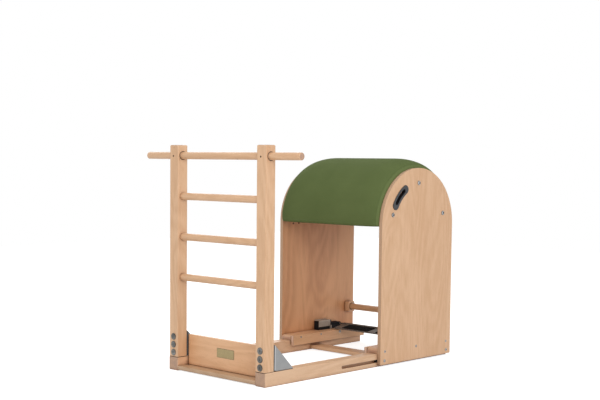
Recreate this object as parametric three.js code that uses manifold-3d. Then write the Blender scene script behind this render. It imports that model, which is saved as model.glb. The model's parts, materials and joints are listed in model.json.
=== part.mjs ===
// Pilates ladder barrel: a ladder standing on two floor rails, and an upholstered barrel that
// slides along those rails and is held by a spring brake with a lift bar.
// Millimetres. +X runs from the ladder to the barrel, +Y to the left, +Z up. The floor is z = 0.
import * as THREE from "three";
import { mergeVertices } from "three/addons/utils/BufferGeometryUtils.js";
import Module from "manifold-3d";

const wasm = await Module();
wasm.setup();

// Clearances and edges
const seatGap = 0.3; // between pieces that are fastened together
const slideGap = 0.5; // between pieces that slide past each other
const cutOverrun = 4; // how far a cutting shape runs past the faces that it opens
const arris = 1.5; // softened edge of the sawn timber
const boardRound = 2.5; // rounded long edges of the boards

// Base frame
const railEndSetback = 6; // the rails end ahead of the panels' rear edges
const railWidth = 58;
const railHeight = 60;
const railRound = 3;
const innerWidth = 496; // between the two rails, and between the two posts
const footBoardDepth = 96;
const floorBoardThickness = 18;
const floorBoardLift = 4; // the flat boards hang clear of the floor
const crossRailFromPanel = 141; // behind the panels' front edges
const crossRailDepth = 75;
const kickBoardThickness = 18;
const kickBoardTop = 159;
const kickBoardSetback = 6; // behind the back faces of the posts
const kickBoardEndGap = 4;

// Ladder
const ladderHeight = 1006;
const postWidth = 56;
const postDepth = 54;
const postRound = 3;
const postTopRound = 7;
const barDiameter = 32;
const barLength = 962;
const barDrop = 47; // below the top of the posts
const barEndRound = 5;
const barHoleGap = 0.7; // round the top bar where it passes through a post
const rungDiameter = 32;
const rungLowest = 419;
const rungSocketDepth = 30;
const rungNames = ["lower", "middle", "upper"];

// Folded corner plates behind the posts, and the bolts that hold them
const plateThickness = 3;
const plateUprightBend = 12; // outer radius between the web and the flange on the post
const plateFootBend = 5;
const plateReach = 116;
const plateRise = 115;
const plateFlange = 44;
const postBoltHead = 30;
const postBoltHeadDepth = 3;
const postBoltShank = 8;
const postBoltNut = 13;
const postBoltNutDepth = 6.5;
const postBoltTip = 3;
const postBoltPitch = 35.5;
const postBoltLowest = 20; // above the foot of the post
const postBoltNames = ["low", "mid", "high"];

// Barrel side panels
const panelFront = 724; // with the barrel at the far end of its travel
const panelDepth = 533;
const panelTop = 913;
const panelThickness = 18;
const panelGround = 9; // clear of the floor
const panelCorner = 4;

// Barrel top
const shellInner = 215;
const shellThickness = 12;
const padCrown = 309; // radius of the pad at the middle of its width
const padEdge = 266; // radius of the pad beside a panel
const padEdgeRun = 125; // width over which the crown falls to the edge
const padSkirt = 2; // straight drop below the half circle
const padHem = 3; // how far the lower edge draws in
const battenWidth = 44;
const battenDepth = 45;
const battenTilt = THREE.MathUtils.degToRad(15); // front and rear battens, above the level

// Bolts of the barrel
const ringBoltRadius = 196;
const ringBoltShank = 8;
const ringBoltReach = 58; // from the panel's outer face into the batten
const buttonHead = 20;
const buttonHeadDepth = 4.5;
const buttonTopShare = 0.28; // radii on a button head, as shares of its diameter
const buttonShoulderShare = 0.42;
const buttonSocketShare = 0.18;
const buttonSocketDepth = 2.4;
const slideBoltShank = 6;
const slideBoltHead = 13;
const slideBoltReach = 28;
const slideBoltInset = 31; // from the panel's front and rear edges

// Hand holes in the panels
const handleRadius = 195;
const handleFrom = THREE.MathUtils.degToRad(121.5);
const handleTo = THREE.MathUtils.degToRad(151.5);
const handleFlangeHalf = 20.5;
const handleBodyHalf = 15;
const handleHoleHalf = 8;
const handleHoleInset = THREE.MathUtils.degToRad(4); // the hole ends short of the screws
const handleFlangeDepth = 2.5;

// Carriage under the panels
const barrelTravel = 237.6; // from the far end of the groove towards the ladder
const runnerHeight = 24;
const runnerChamfer = 8;
const keeperThickness = 16;
const keeperGap = 4.5; // between a keeper and the rail beside it
const keeperDrop = 25; // below the top of the rail
const grooveRearLand = 8; // wood left between the groove and the rail's rear end
const grooveCentre = 27; // above the floor
const grooveHeight = 14;
const grooveDepth = 14;
const stripLead = 7; // ahead of the panel's front edge
const stripDepth = 13; // reach into the groove from the rail's outer face
const stripGap = 0.4; // round the strip in its groove, and at its back stop

// Rear dowel between the panels
const dowelDiameter = 32;
const dowelHeight = 185;
const dowelFromRear = 45; // in front of the panel's rear edge
const dowelBlockWidth = 46;
const dowelBlockHeight = 55;
const dowelBlockDepth = 30;
const dowelBlockRound = 9;
const dowelBoreMouth = 3; // widened edge of the block's bore

// Brake housings on the runners: places along X are taken from the panel's front edge
const housingFront = 233;
const housingLength = 169;
const housingStep = 95; // length of the tall front part
const housingHeight = 45;
const housingRearHeight = 30;
const housingWidth = 31.5;
const housingRamp = 4;
const housingFloor = 5.5;
const housingRoof = 3.3;
const chamberRadius = 11;
const armSlotWidth = 9.4;
const armSlotFloor = 9; // above the housing's foot
const strapFront = 233;
const strapLength = 85;
const strapThickness = 2;
const strapUpstand = 4;
const strapSkirt = 32; // height of the wall beside the housing
const strapEar = 12;
const strapEarRise = 20; // above the housing's foot

// Lift bar with its two arms, and what the arms raise
const pivotFromFront = 393;
const pivotHeight = 21; // above the top of the runner
const pivotRod = 10;
const pivotGap = 0.4;
const pivotEndGap = 6; // from the rod's end to the panel
const armReach = 72.5; // from the pivot to the contact under the plunger's collar
const armBoss = 18;
const armNose = 6;
const armThickness = 8;
const barPlateDepth = 78;
const barPlateThickness = 3;
const barPlateHalf = 243;
const barPlateTilt = THREE.MathUtils.degToRad(9); // the front edge hangs lower
const barPlateLip = 5;
const barKnuckle = 15;
const padStripLength = 168;
const padStripDepth = 64;
const padStripThickness = 3;
const padStripCentre = 110;
const plungerRod = 10;
const plungerCollar = 20;
const plungerCollarDepth = 3;
const plungerFromPivot = 81;
const plungerTop = 28; // above the top of the runner
const brakeFoot = 20;
const brakeFootHeight = 9.7;
const brakeHoleGap = 1;
const springWire = 1.5;
const springOuter = 17;
const springTurns = 3.5;

// Round shapes: how many flat sides stand for a circle
const coarseFacets = 12;
const fineFacets = 24;
const cornerSteps = 2; // curve steps of a softened corner: each gives two flat faces

// Worked-out places
const panelRadius = panelDepth / 2;
const barHeight = ladderHeight - barDrop;
const rungSpacing = (barHeight - rungLowest) / rungNames.length;
const axisHeight = panelTop - panelRadius;
const axisX = panelFront + panelRadius;
const railLength = panelFront + panelDepth - railEndSetback;
const stripFront = panelFront - stripLead;
const grooveFront = stripFront - stripGap - barrelTravel;
const grooveRear = railLength - grooveRearLand;
const crossRailFront = panelFront + crossRailFromPanel;
const railY = (innerWidth + railWidth) / 2;
const railOuterY = innerWidth / 2 + railWidth;
const postY = (innerWidth + postWidth) / 2;
const postOuterY = innerWidth / 2 + postWidth;
const kickBoardFoot = floorBoardLift + floorBoardThickness + seatGap;
const postFoot = railHeight + seatGap;
const postLength = ladderHeight - postFoot;
const panelInnerY = railOuterY + slideGap;
const panelOuterY = panelInnerY + panelThickness;
const barrelWidth = 2 * (panelInnerY - seatGap);
const runnerTop = railHeight + runnerHeight;
const runnerInnerY = innerWidth / 2 - keeperGap + seatGap;
const runnerOuterY = panelInnerY - seatGap;
const runnerWidth = runnerOuterY - runnerInnerY;
const shellOuter = shellInner + shellThickness;
const stripRear = grooveRear - stripGap;
const pivotX = panelFront + pivotFromFront;
const pivotZ = runnerTop + pivotHeight;
const plungerX = pivotX - plungerFromPivot;
const housingX = panelFront + housingFront;
const housingFoot = runnerTop + seatGap;
const housingY = runnerOuterY - housingWidth / 2;
const collarFoot = pivotZ - seatGap;
const chamberTop = housingFoot + housingHeight - housingRoof;
const postBoltHeights = postBoltNames.map((_, i) => postFoot + postBoltLowest + i * postBoltPitch);
const rungHeights = rungNames.map((_, i) => rungLowest + i * rungSpacing);
const battenAngles = { front: Math.PI - battenTilt, top: Math.PI / 2, rear: battenTilt };
const sides = { left: 1, right: -1 };

// Materials
const finish = (color, roughness, metalness = 0) =>
  new THREE.MeshStandardMaterial({ color, roughness, metalness });
const beech = finish(0xd9b48c, 0.5);
const plywood = finish(0xd3ab82, 0.5);
const vinyl = finish(0x5a6a3e, 0.45);
const greySteel = finish(0xa2a4a6, 0.45, 0.3);
const zinc = finish(0xb9bbbd, 0.35, 0.8);
const darkSteel = finish(0x5c5f62, 0.4, 0.7);
const blackPlastic = finish(0x1b1c1e, 0.5);
const blackRubber = finish(0x161616, 0.8);

// Turns a shape pushed along its own z onto another axis
const turnOnto = {
  x: new THREE.Matrix4().makeBasis(
    new THREE.Vector3(0, 1, 0),
    new THREE.Vector3(0, 0, 1),
    new THREE.Vector3(1, 0, 0),
  ),
  y: new THREE.Matrix4().makeRotationX(Math.PI / 2),
  z: new THREE.Matrix4(),
};

// Outline pushed along an axis and centred on it: drawn in (y, z) for x, in (x, z) for y
function prism(outline, length, axis, edge = 0, steps = cornerSteps) {
  const depth = length - 2 * edge;
  const geometry = new THREE.ExtrudeGeometry(outline, {
    depth,
    bevelEnabled: edge > 0,
    bevelThickness: edge,
    bevelSize: edge,
    bevelOffset: -edge,
    bevelSegments: 1,
    curveSegments: steps,
  });
  geometry.translate(0, 0, -depth / 2);
  return geometry.applyMatrix4(turnOnto[axis]);
}

function polygon(points) {
  return new THREE.Shape(points.map(([x, y]) => new THREE.Vector2(x, y)));
}

function roundedRectangle(width, height, radius) {
  const x = width / 2 - radius;
  const y = height / 2 - radius;
  const outline = new THREE.Shape();
  outline.absarc(x, y, radius, 0, Math.PI / 2);
  outline.absarc(-x, y, radius, Math.PI / 2, Math.PI);
  outline.absarc(-x, -y, radius, Math.PI, 1.5 * Math.PI);
  outline.absarc(x, -y, radius, 1.5 * Math.PI, 2 * Math.PI);
  outline.closePath();
  return outline;
}

// Upright outline with only its two top corners rounded
function roundedHead(width, height, radius) {
  const x = width / 2;
  const y = height / 2;
  const outline = new THREE.Shape();
  outline.moveTo(-x, -y);
  outline.lineTo(x, -y);
  outline.absarc(x - radius, y - radius, radius, 0, Math.PI / 2, false);
  outline.absarc(radius - x, y - radius, radius, Math.PI / 2, Math.PI, false);
  outline.closePath();
  return outline;
}

// Solid of revolution: rings are [distance, radius], and the distance runs to +X, -Y or +Z
function turned(rings, axis, facets = fineFacets) {
  const ends = [rings[0][0], rings[rings.length - 1][0]];
  const profile = [[ends[0], 0], ...rings, [ends[1], 0]];
  const points = profile.map(([along, radius]) => new THREE.Vector2(radius, along));
  const geometry = new THREE.LatheGeometry(points, facets);
  geometry.rotateX(Math.PI / 2);
  return geometry.applyMatrix4(turnOnto[axis]);
}

function rod(radius, length, axis, facets = fineFacets) {
  return turned([[-length / 2, radius], [length / 2, radius]], axis, facets);
}

function moved(geometry, x, y, z) {
  return geometry.clone().translate(x, y, z);
}

function toSolid(geometry) {
  const bare = geometry.clone();
  bare.deleteAttribute("normal");
  bare.deleteAttribute("uv");
  const merged = mergeVertices(bare);
  const index = merged.index.array;
  const triangles = [];
  for (let i = 0; i < index.length; i += 3) {
    const [a, b, c] = index.slice(i, i + 3);
    if (a !== b && b !== c && c !== a) {
      triangles.push(a, b, c);
    }
  }
  const vertProperties = merged.attributes.position.array;
  const triVerts = new Uint32Array(triangles);
  return new wasm.Manifold(new wasm.Mesh({ numProp: 3, vertProperties, triVerts }));
}

function toGeometry(solid) {
  const mesh = solid.getMesh();
  const geometry = new THREE.BufferGeometry();
  geometry.setAttribute("position", new THREE.BufferAttribute(new Float32Array(mesh.vertProperties), 3));
  geometry.setIndex(new THREE.BufferAttribute(new Uint32Array(mesh.triVerts), 1));
  const flat = geometry.toNonIndexed();
  flat.computeVertexNormals();
  return flat;
}

function cut(geometry, tools) {
  return toGeometry(tools.reduce((solid, tool) => solid.subtract(toSolid(tool)), toSolid(geometry)));
}

function join(first, ...others) {
  return toGeometry(others.reduce((solid, other) => solid.add(toSolid(other)), toSolid(first)));
}

function common(first, second) {
  return toGeometry(toSolid(first).intersect(toSolid(second)));
}

// Right-hand twin of a left-hand piece
function mirrored(geometry) {
  const twin = geometry.index ? geometry.toNonIndexed() : geometry.clone();
  const position = twin.attributes.position;
  const corner = [new THREE.Vector3(), new THREE.Vector3(), new THREE.Vector3()];
  for (let i = 0; i < position.count; i += 3) {
    corner.forEach((point, k) => point.fromBufferAttribute(position, i + k));
    corner.forEach((point, k) => position.setXYZ(i + 2 - k, point.x, -point.y, point.z));
  }
  twin.computeVertexNormals();
  return twin;
}

function piece(group, name, geometry, material, x = 0, y = 0, z = 0) {
  const mesh = new THREE.Mesh(toGeometry(toSolid(geometry)), material);
  mesh.name = name;
  mesh.position.set(x, y, z);
  group.add(mesh);
}

// A piece for each side, from the left-hand one
function pair(group, name, geometry, material, x, y, z) {
  for (const [side, sign] of Object.entries(sides)) {
    piece(group, `${name}_${side}`, sign > 0 ? geometry : mirrored(geometry), material, x, sign * y, z);
  }
}

// Base rail with the stopped groove that the barrel's slide strip runs in, on its outer face
function baseRail() {
  const bar = prism(roundedRectangle(railWidth, railHeight, railRound), railLength, "x", arris);
  const outline = roundedRectangle(grooveRear - grooveFront, grooveHeight, grooveHeight / 2);
  const groove = prism(outline, grooveDepth + cutOverrun, "y", 0, 6);
  const grooveX = (grooveFront + grooveRear - railLength) / 2;
  const grooveY = (railWidth - grooveDepth + cutOverrun) / 2;
  return cut(bar, [moved(groove, grooveX, grooveY, grooveCentre - railHeight / 2)]);
}

// Flat board between the rails
function floorBoard(depth) {
  const outline = roundedRectangle(depth, floorBoardThickness, boardRound);
  return prism(outline, innerWidth - 2 * seatGap, "y", arris);
}

function kickBoard() {
  const height = kickBoardTop - kickBoardFoot;
  const outline = roundedRectangle(kickBoardThickness, height, boardRound);
  return prism(outline, innerWidth - 2 * kickBoardEndGap, "y", arris);
}

// Left-hand post: blind rung sockets in its inner face, a hole for the top bar, three bolt holes
function post() {
  const bar = prism(roundedRectangle(postDepth, postWidth, postRound), postLength, "z", arris);
  const frontView = prism(roundedHead(postWidth, postLength, postTopRound), postDepth + cutOverrun, "x");
  const sideView = prism(roundedHead(postDepth, postLength, postTopRound), postWidth + cutOverrun, "y");
  const stile = common(common(bar, frontView), sideView);
  const middle = postFoot + postLength / 2;
  const socketDepth = rungSocketDepth + seatGap;
  const socket = rod(rungDiameter / 2 + seatGap, socketDepth + cutOverrun, "y");
  const socketY = (socketDepth - cutOverrun - postWidth) / 2;
  const barHole = rod(barDiameter / 2 + barHoleGap, postWidth + 2 * cutOverrun, "y");
  const boltHole = rod(postBoltShank / 2 + seatGap, postDepth + 2 * cutOverrun, "x", coarseFacets);
  return cut(stile, [
    ...rungHeights.map((height) => moved(socket, 0, socketY, height - middle)),
    moved(barHole, 0, 0, barHeight - middle),
    ...postBoltHeights.map((height) => moved(boltHole, 0, 0, height - middle)),
  ]);
}

function topBar() {
  const half = barLength / 2;
  const radius = barDiameter / 2;
  const shoulder = barEndRound / 3;
  const end = [
    [half - barEndRound, radius],
    [half - shoulder, radius - shoulder],
    [half, radius - barEndRound],
  ];
  return turned([...end.map(([along, r]) => [-along, r]).reverse(), ...end], "y");
}

// Outline of a folded angle: legs along +x and +y, its outer bend rounded
function angleOutline(legX, legY, bend) {
  const angles = [0, 1, 2, 3, 4].map((i) => Math.PI + (i * Math.PI) / 8);
  const turn = (radius) => angles.map((a) => [bend + radius * Math.cos(a), bend + radius * Math.sin(a)]);
  return polygon([
    ...turn(bend),
    [legX, 0],
    [legX, plateThickness],
    ...turn(bend - plateThickness).reverse(),
    [plateThickness, legY],
    [0, legY],
  ]);
}

// Corner plate with its heel at the origin: the web is its right-hand face, two flanges reach left
function cornerPlate() {
  const upright = prism(angleOutline(plateReach, plateFlange, plateUprightBend), plateRise, "z");
  const foot = prism(angleOutline(plateFlange, plateRise, plateFootBend), plateReach, "x");
  const folded = join(moved(upright, 0, 0, plateRise / 2), moved(foot, plateReach / 2, 0, 0));
  const side = polygon([
    [0, 0],
    [plateReach, 0],
    [plateReach, plateThickness],
    [plateThickness, plateRise],
    [0, plateRise],
  ]);
  const trim = moved(prism(side, plateFlange + 2 * cutOverrun, "y"), 0, plateFlange / 2, 0);
  const boltHole = rod(postBoltShank / 2 + seatGap, 2 * cutOverrun, "x", coarseFacets);
  const holes = postBoltHeights.map((height) => moved(boltHole, 0, postWidth / 2, height - postFoot));
  return cut(common(folded, trim), holes);
}

// Bolt through a post and its corner plate, with the hexagon nut on its end; x = 0 is the post's face
function postBolt() {
  const nutFace = postDepth + 2 * seatGap + plateThickness;
  const nutEnd = nutFace + postBoltNutDepth;
  const shank = postBoltShank / 2;
  const headTop = -seatGap - postBoltHeadDepth;
  const bolt = turned(
    [
      [headTop, postBoltHead / 2 - postBoltHeadDepth],
      [headTop + postBoltHeadDepth / 2, postBoltHead / 2],
      [-seatGap, postBoltHead / 2],
      [-seatGap, shank],
      [nutEnd + postBoltTip, shank],
    ],
    "x",
    coarseFacets,
  );
  return join(bolt, turned([[nutFace, postBoltNut / 2], [nutEnd, postBoltNut / 2]], "x", 6));
}

// Button-headed bolt through a left-hand panel: the shank starts at the panel's outer face
function buttonBolt(head, shank, reach) {
  const top = -seatGap - buttonHeadDepth;
  return turned(
    [
      [top + buttonSocketDepth, head * buttonSocketShare],
      [top, head * buttonSocketShare],
      [top, head * buttonTopShare],
      [top + buttonHeadDepth / 3, head * buttonShoulderShare],
      [-seatGap, head / 2],
      [-seatGap, shank / 2],
      [reach, shank / 2],
    ],
    "y",
    coarseFacets,
  );
}

// Place on a circle round the barrel's axis
function onRing(radius, angle) {
  return [radius * Math.cos(angle), radius * Math.sin(angle)];
}

// Banana-shaped outline that follows a circle round the barrel's axis
function arcSlot(radius, from, to, half) {
  const outline = new THREE.Shape();
  outline.absarc(0, 0, radius + half, from, to, false);
  outline.absarc(...onRing(radius, to), half, to, to + Math.PI, false);
  outline.absarc(0, 0, radius - half, to, from, true);
  outline.absarc(...onRing(radius, from), half, from + Math.PI, from + 2 * Math.PI, false);
  return outline;
}

// Side panel round the barrel's axis: square foot and half-round head
function sidePanel() {
  const leg = axisHeight - panelGround;
  const outline = new THREE.Shape();
  outline.moveTo(panelCorner - panelRadius, -leg);
  outline.lineTo(panelRadius - panelCorner, -leg);
  outline.lineTo(panelRadius, panelCorner - leg);
  outline.absarc(0, 0, panelRadius, 0, Math.PI, false);
  outline.lineTo(-panelRadius, panelCorner - leg);
  const through = panelThickness + 2 * cutOverrun;
  const handHole = arcSlot(handleRadius, handleFrom, handleTo, handleBodyHalf + seatGap);
  const ringHole = rod(ringBoltShank / 2 + seatGap, through, "y", coarseFacets);
  const slideHole = rod(slideBoltShank / 2 + seatGap, through, "y", coarseFacets);
  const slideX = panelRadius - slideBoltInset;
  return cut(prism(outline, panelThickness, "y", arris, 24), [
    prism(handHole, through, "y", 0, 5),
    ...Object.values(battenAngles).map((angle) => {
      const [x, z] = onRing(ringBoltRadius, angle);
      return moved(ringHole, x, 0, z);
    }),
    ...[-slideX, slideX].map((x) => moved(slideHole, x, 0, grooveCentre - axisHeight)),
  ]);
}

// Moulded hand-hole lining: a collar through the panel under a wider outer flange
function handleInsert() {
  const hole = arcSlot(
    handleRadius,
    handleFrom + handleHoleInset,
    handleTo - handleHoleInset,
    handleHoleHalf,
  );
  const flange = prism(
    arcSlot(handleRadius, handleFrom, handleTo, handleFlangeHalf),
    handleFlangeDepth,
    "y",
    handleFlangeDepth / 4,
    5,
  );
  const collarLength = panelThickness + seatGap + handleFlangeDepth / 2;
  const collar = prism(arcSlot(handleRadius, handleFrom, handleTo, handleBodyHalf), collarLength, "y", 0, 5);
  const flangeY = panelThickness / 2 + seatGap + handleFlangeDepth / 2;
  const collarY = flangeY - collarLength / 2;
  const lining = join(moved(collar, 0, collarY, 0), moved(flange, 0, flangeY, 0));
  return cut(lining, [prism(hole, 3 * panelThickness, "y", 0, 5)]);
}

// Bent-plywood half shell under the pad
function barrelShell() {
  const outline = new THREE.Shape();
  outline.moveTo(shellOuter, -padSkirt);
  outline.absarc(0, 0, shellOuter, 0, Math.PI, false);
  outline.lineTo(-shellOuter, -padSkirt);
  outline.lineTo(-shellInner, -padSkirt);
  outline.absarc(0, 0, shellInner, Math.PI, 0, true);
  outline.lineTo(shellInner, -padSkirt);
  return prism(outline, barrelWidth, "y", 0, 32);
}

// Cross batten under the shell: its outer face follows the shell, its inner face is flat
function batten(angle) {
  const outer = shellInner - seatGap;
  const spread = Math.asin(battenWidth / 2 / outer);
  const inner = outer - battenDepth;
  const outline = new THREE.Shape();
  outline.moveTo(inner, -battenWidth / 2);
  outline.absarc(0, 0, outer, -spread, spread, false);
  outline.lineTo(inner, battenWidth / 2);
  const bar = prism(outline, barrelWidth, "y", 0, 6).rotateY(-angle);
  const [x, z] = onRing(ringBoltRadius, angle);
  const depth = ringBoltReach - panelThickness + seatGap;
  const hole = rod(ringBoltShank / 2 + seatGap, depth + cutOverrun, "y", coarseFacets);
  const holeY = (barrelWidth - depth + cutOverrun) / 2;
  return cut(bar, [moved(hole, x, holeY, z), moved(hole, x, -holeY, z)]);
}

// Radius of the pad's face at a distance y from the middle of its width
function padRadius(y) {
  const into = Math.max(0, Math.abs(y) - (barrelWidth / 2 - padEdgeRun)) / padEdgeRun;
  return padEdge + (padCrown - padEdge) * Math.sqrt(Math.max(0, 1 - into ** 2));
}

// Upholstered pad: sections swept over the half circle, crowned across and drawn in at the hems
function barrelPad() {
  const half = barrelWidth / 2;
  const arcSteps = 32;
  const inner = (shellOuter + seatGap) / Math.cos(Math.PI / 2 / arcSteps);
  const faceShares = [-1, -0.985, -0.95, -0.89, -0.81, -0.71, -0.59, 0, 0.59, 0.71, 0.81, 0.89, 0.95, 0.985, 1];
  const backShares = [1, 0, -1];
  const hemShares = [
    [1, 1],
    [0.6, 0.3],
  ];
  const hems = hemShares.map(([drop, inset]) => ({ drop: drop * padSkirt, inset: inset * padHem }));
  const arcAngles = Array.from({ length: arcSteps + 1 }, (_, i) => Math.PI * (1 - i / arcSteps));
  const stations = [
    ...hems.map((hem) => ({ angle: Math.PI, ...hem })),
    ...arcAngles.map((angle) => ({ angle, drop: 0, inset: 0 })),
    ...hems.map((hem) => ({ angle: 0, ...hem })).reverse(),
  ];
  const loops = stations.map(({ angle, drop, inset }) => {
    const place = (radius, y) => {
      const [x, z] = onRing(radius, angle);
      return new THREE.Vector3(x, y, z - drop);
    };
    return [
      ...faceShares.map((share) => place(padRadius(share * half) - inset, share * half)),
      ...backShares.map((share) => place(inner, share * half)),
    ];
  });
  return loft(loops);
}

// Closed skin over a row of loops that have the same number of corners, with a fan on each end
function loft(loops) {
  const size = loops[0].length;
  const positions = loops.flat().flatMap((point) => point.toArray());
  const index = [];
  for (let i = 0; i + 1 < loops.length; i += 1) {
    for (let k = 0; k < size; k += 1) {
      const [a, b] = [i * size + k, i * size + ((k + 1) % size)];
      index.push(a, b + size, b, a, a + size, b + size);
    }
  }
  const last = (loops.length - 1) * size;
  for (let k = 1; k + 1 < size; k += 1) {
    index.push(0, k, k + 1, last, last + k + 1, last + k);
  }
  const geometry = new THREE.BufferGeometry();
  geometry.setAttribute("position", new THREE.Float32BufferAttribute(positions, 3));
  geometry.setIndex(index);
  return geometry;
}

// Runner that carries a panel on the rail's top, with the hole that the brake foot works in
function runner() {
  const length = panelDepth;
  const height = runnerHeight - seatGap;
  const side = polygon([
    [-length / 2, -height / 2],
    [length / 2, -height / 2],
    [length / 2, height / 2],
    [runnerChamfer - length / 2, height / 2],
    [-length / 2, height / 2 - runnerChamfer],
  ]);
  const hole = rod(brakeFoot / 2 + brakeHoleGap, height + 2 * cutOverrun, "z", coarseFacets);
  const holeY = housingY - (runnerInnerY + runnerOuterY) / 2;
  return cut(prism(side, runnerWidth, "y"), [moved(hole, plungerX - axisX, holeY, 0)]);
}

// Keeper under the runner's inner edge, hanging beside the rail
function keeper() {
  const height = runnerHeight + keeperDrop;
  return prism(roundedRectangle(keeperThickness, height, boardRound), panelDepth, "x", arris);
}

// Low-friction strip that runs in the rail's groove
function slideStrip() {
  const height = grooveHeight - 2 * stripGap;
  const depth = stripDepth + slideGap - seatGap;
  const strip = prism(roundedRectangle(stripRear - stripFront, height, height / 2), depth, "y", 0, 6);
  const holeDepth = slideBoltReach - panelThickness + seatGap;
  const hole = rod(slideBoltShank / 2 + seatGap, holeDepth, "y", coarseFacets);
  const middle = (stripFront + stripRear) / 2;
  const holeY = (depth - slideBoltReach + panelThickness) / 2;
  const places = [panelFront + slideBoltInset, panelFront + panelDepth - slideBoltInset];
  return cut(strip, places.map((x) => moved(hole, x - middle, holeY, 0)));
}

function dowelBlock() {
  const outline = roundedRectangle(dowelBlockWidth, dowelBlockHeight, dowelBlockRound);
  const radius = dowelDiameter / 2 + seatGap;
  const bore = rod(radius, dowelBlockDepth + 2 * cutOverrun, "y");
  const half = dowelBlockDepth / 2;
  const mouth = turned([[half - dowelBoreMouth, radius], [half, radius + dowelBoreMouth]], "y");
  return cut(prism(outline, dowelBlockDepth, "y", arris), [bore, mouth]);
}

// Brake housing, its foot and front end at the origin: tall over the plunger, lower over the pivot
function brakeHousing() {
  const outline = polygon([
    [0, 0],
    [housingLength, 0],
    [housingLength, housingRearHeight - housingRamp],
    [housingLength - housingRamp, housingRearHeight],
    [housingStep + housingRamp, housingRearHeight],
    [housingStep, housingRearHeight + housingRamp],
    [housingStep, housingHeight],
    [housingRamp, housingHeight],
    [0, housingHeight - housingRamp],
  ]);
  const body = prism(outline, housingWidth, "y");
  const plunger = plungerX - housingX;
  const pivot = pivotX - housingX;
  const roof = housingHeight - housingRoof;
  const chamber = rod(chamberRadius, roof - housingFloor, "z", coarseFacets);
  const guide = rod(plungerRod / 2 + seatGap, housingFloor + 2 * cutOverrun, "z", coarseFacets);
  const slotEnd = housingLength + cutOverrun;
  const rearSlot = new THREE.BoxGeometry(slotEnd - housingStep, armSlotWidth, housingHeight);
  const slotLength = housingStep + cutOverrun - plunger;
  const frontSlot = new THREE.BoxGeometry(slotLength, armSlotWidth, roof - armSlotFloor);
  const bore = rod(pivotRod / 2 + pivotGap, housingWidth + 2 * cutOverrun, "y", coarseFacets);
  return cut(body, [
    moved(chamber, plunger, 0, (roof + housingFloor) / 2),
    moved(guide, plunger, 0, housingFloor / 2),
    moved(rearSlot, (slotEnd + housingStep) / 2, 0, armSlotFloor + housingHeight / 2),
    moved(frontSlot, (housingStep + cutOverrun + plunger) / 2, 0, (roof + armSlotFloor) / 2),
    moved(bore, pivot, 0, pivotZ - housingFoot),
  ]);
}

// Folded steel strap over the housing: upstand on the panel, top, inner wall and a rear ear
function housingStrap() {
  const t = strapThickness;
  const top = housingHeight + seatGap;
  const outer = housingWidth / 2;
  const wall = outer + seatGap;
  const fold = polygon([
    [outer, top + strapUpstand],
    [outer - t, top + strapUpstand],
    [outer - t, top + t],
    [-wall, top + t],
    [-wall - t, top],
    [-wall - t, top + t - strapSkirt],
    [-wall, top + t - strapSkirt],
    [-wall, top],
    [outer, top],
  ]);
  const ear = new THREE.BoxGeometry(t, strapEar, strapEarRise);
  const sheet = prism(fold, strapLength, "x");
  return join(sheet, moved(ear, (strapLength - t) / 2, -wall - strapEar / 2, strapEarRise / 2));
}

// Lift bar, its pivot rod on the origin: rod, knuckle, hanging plate and the two arms, welded up
function liftBar() {
  const half = panelInnerY - pivotEndGap;
  const pivot = rod(pivotRod / 2, 2 * half, "y", coarseFacets);
  const knuckle = rod(barKnuckle / 2, 2 * barPlateHalf, "y", coarseFacets);
  const t = barPlateThickness;
  const section = polygon([
    [0, -t / 2],
    [t - barPlateDepth, -t / 2],
    [t - barPlateDepth, -barPlateLip],
    [-barPlateDepth, -barPlateLip],
    [-barPlateDepth, t / 2 - t / 3],
    [t / 3 - barPlateDepth, t / 2],
    [0, t / 2],
  ]);
  const plate = prism(section, 2 * barPlateHalf, "y").rotateY(-barPlateTilt);
  const arm = new THREE.Shape();
  const noseZ = collarFoot - seatGap - armNose / 2 - pivotZ;
  arm.absarc(0, 0, armBoss / 2, Math.PI / 2, -Math.PI / 2, true);
  arm.absarc(-armReach, noseZ, armNose / 2, 1.5 * Math.PI, Math.PI / 2, true);
  arm.lineTo(armNose - armReach, noseZ + armNose / 2);
  const lever = prism(arm, armThickness, "y", 0, 6);
  return join(pivot, knuckle, plate, moved(lever, 0, housingY, 0), moved(lever, 0, -housingY, 0));
}

// Grip strip on the plate's upper face, laid along it
function gripStrip() {
  const outline = roundedRectangle(padStripDepth, padStripThickness, padStripThickness / 3);
  const along = -(barKnuckle / 2 + barPlateDepth) / 2;
  const above = barPlateThickness / 2 + seatGap + padStripThickness / 2;
  const strip = prism(outline, padStripLength, "y", padStripThickness / 4);
  return moved(strip, along, 0, above).rotateY(-barPlateTilt);
}

// Brake plunger on the axis of its chamber: z = 0 is the top of the runner
function plunger() {
  const foot = railHeight + 2 * seatGap + brakeFootHeight - runnerTop;
  const collar = collarFoot - runnerTop;
  return turned(
    [
      [foot, plungerRod / 2],
      [collar, plungerRod / 2],
      [collar, plungerCollar / 2],
      [collar + plungerCollarDepth, plungerCollar / 2],
      [collar + plungerCollarDepth, plungerRod / 2],
      [plungerTop, plungerRod / 2],
    ],
    "z",
    coarseFacets,
  );
}

class Helix extends THREE.Curve {
  constructor(radius, bottom, top, turns) {
    super();
    Object.assign(this, { radius, bottom, top, turns });
  }

  getPoint(share, target = new THREE.Vector3()) {
    const angle = 2 * Math.PI * this.turns * share;
    const z = this.bottom + (this.top - this.bottom) * share;
    return target.set(this.radius * Math.cos(angle), this.radius * Math.sin(angle), z);
  }
}

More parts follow.
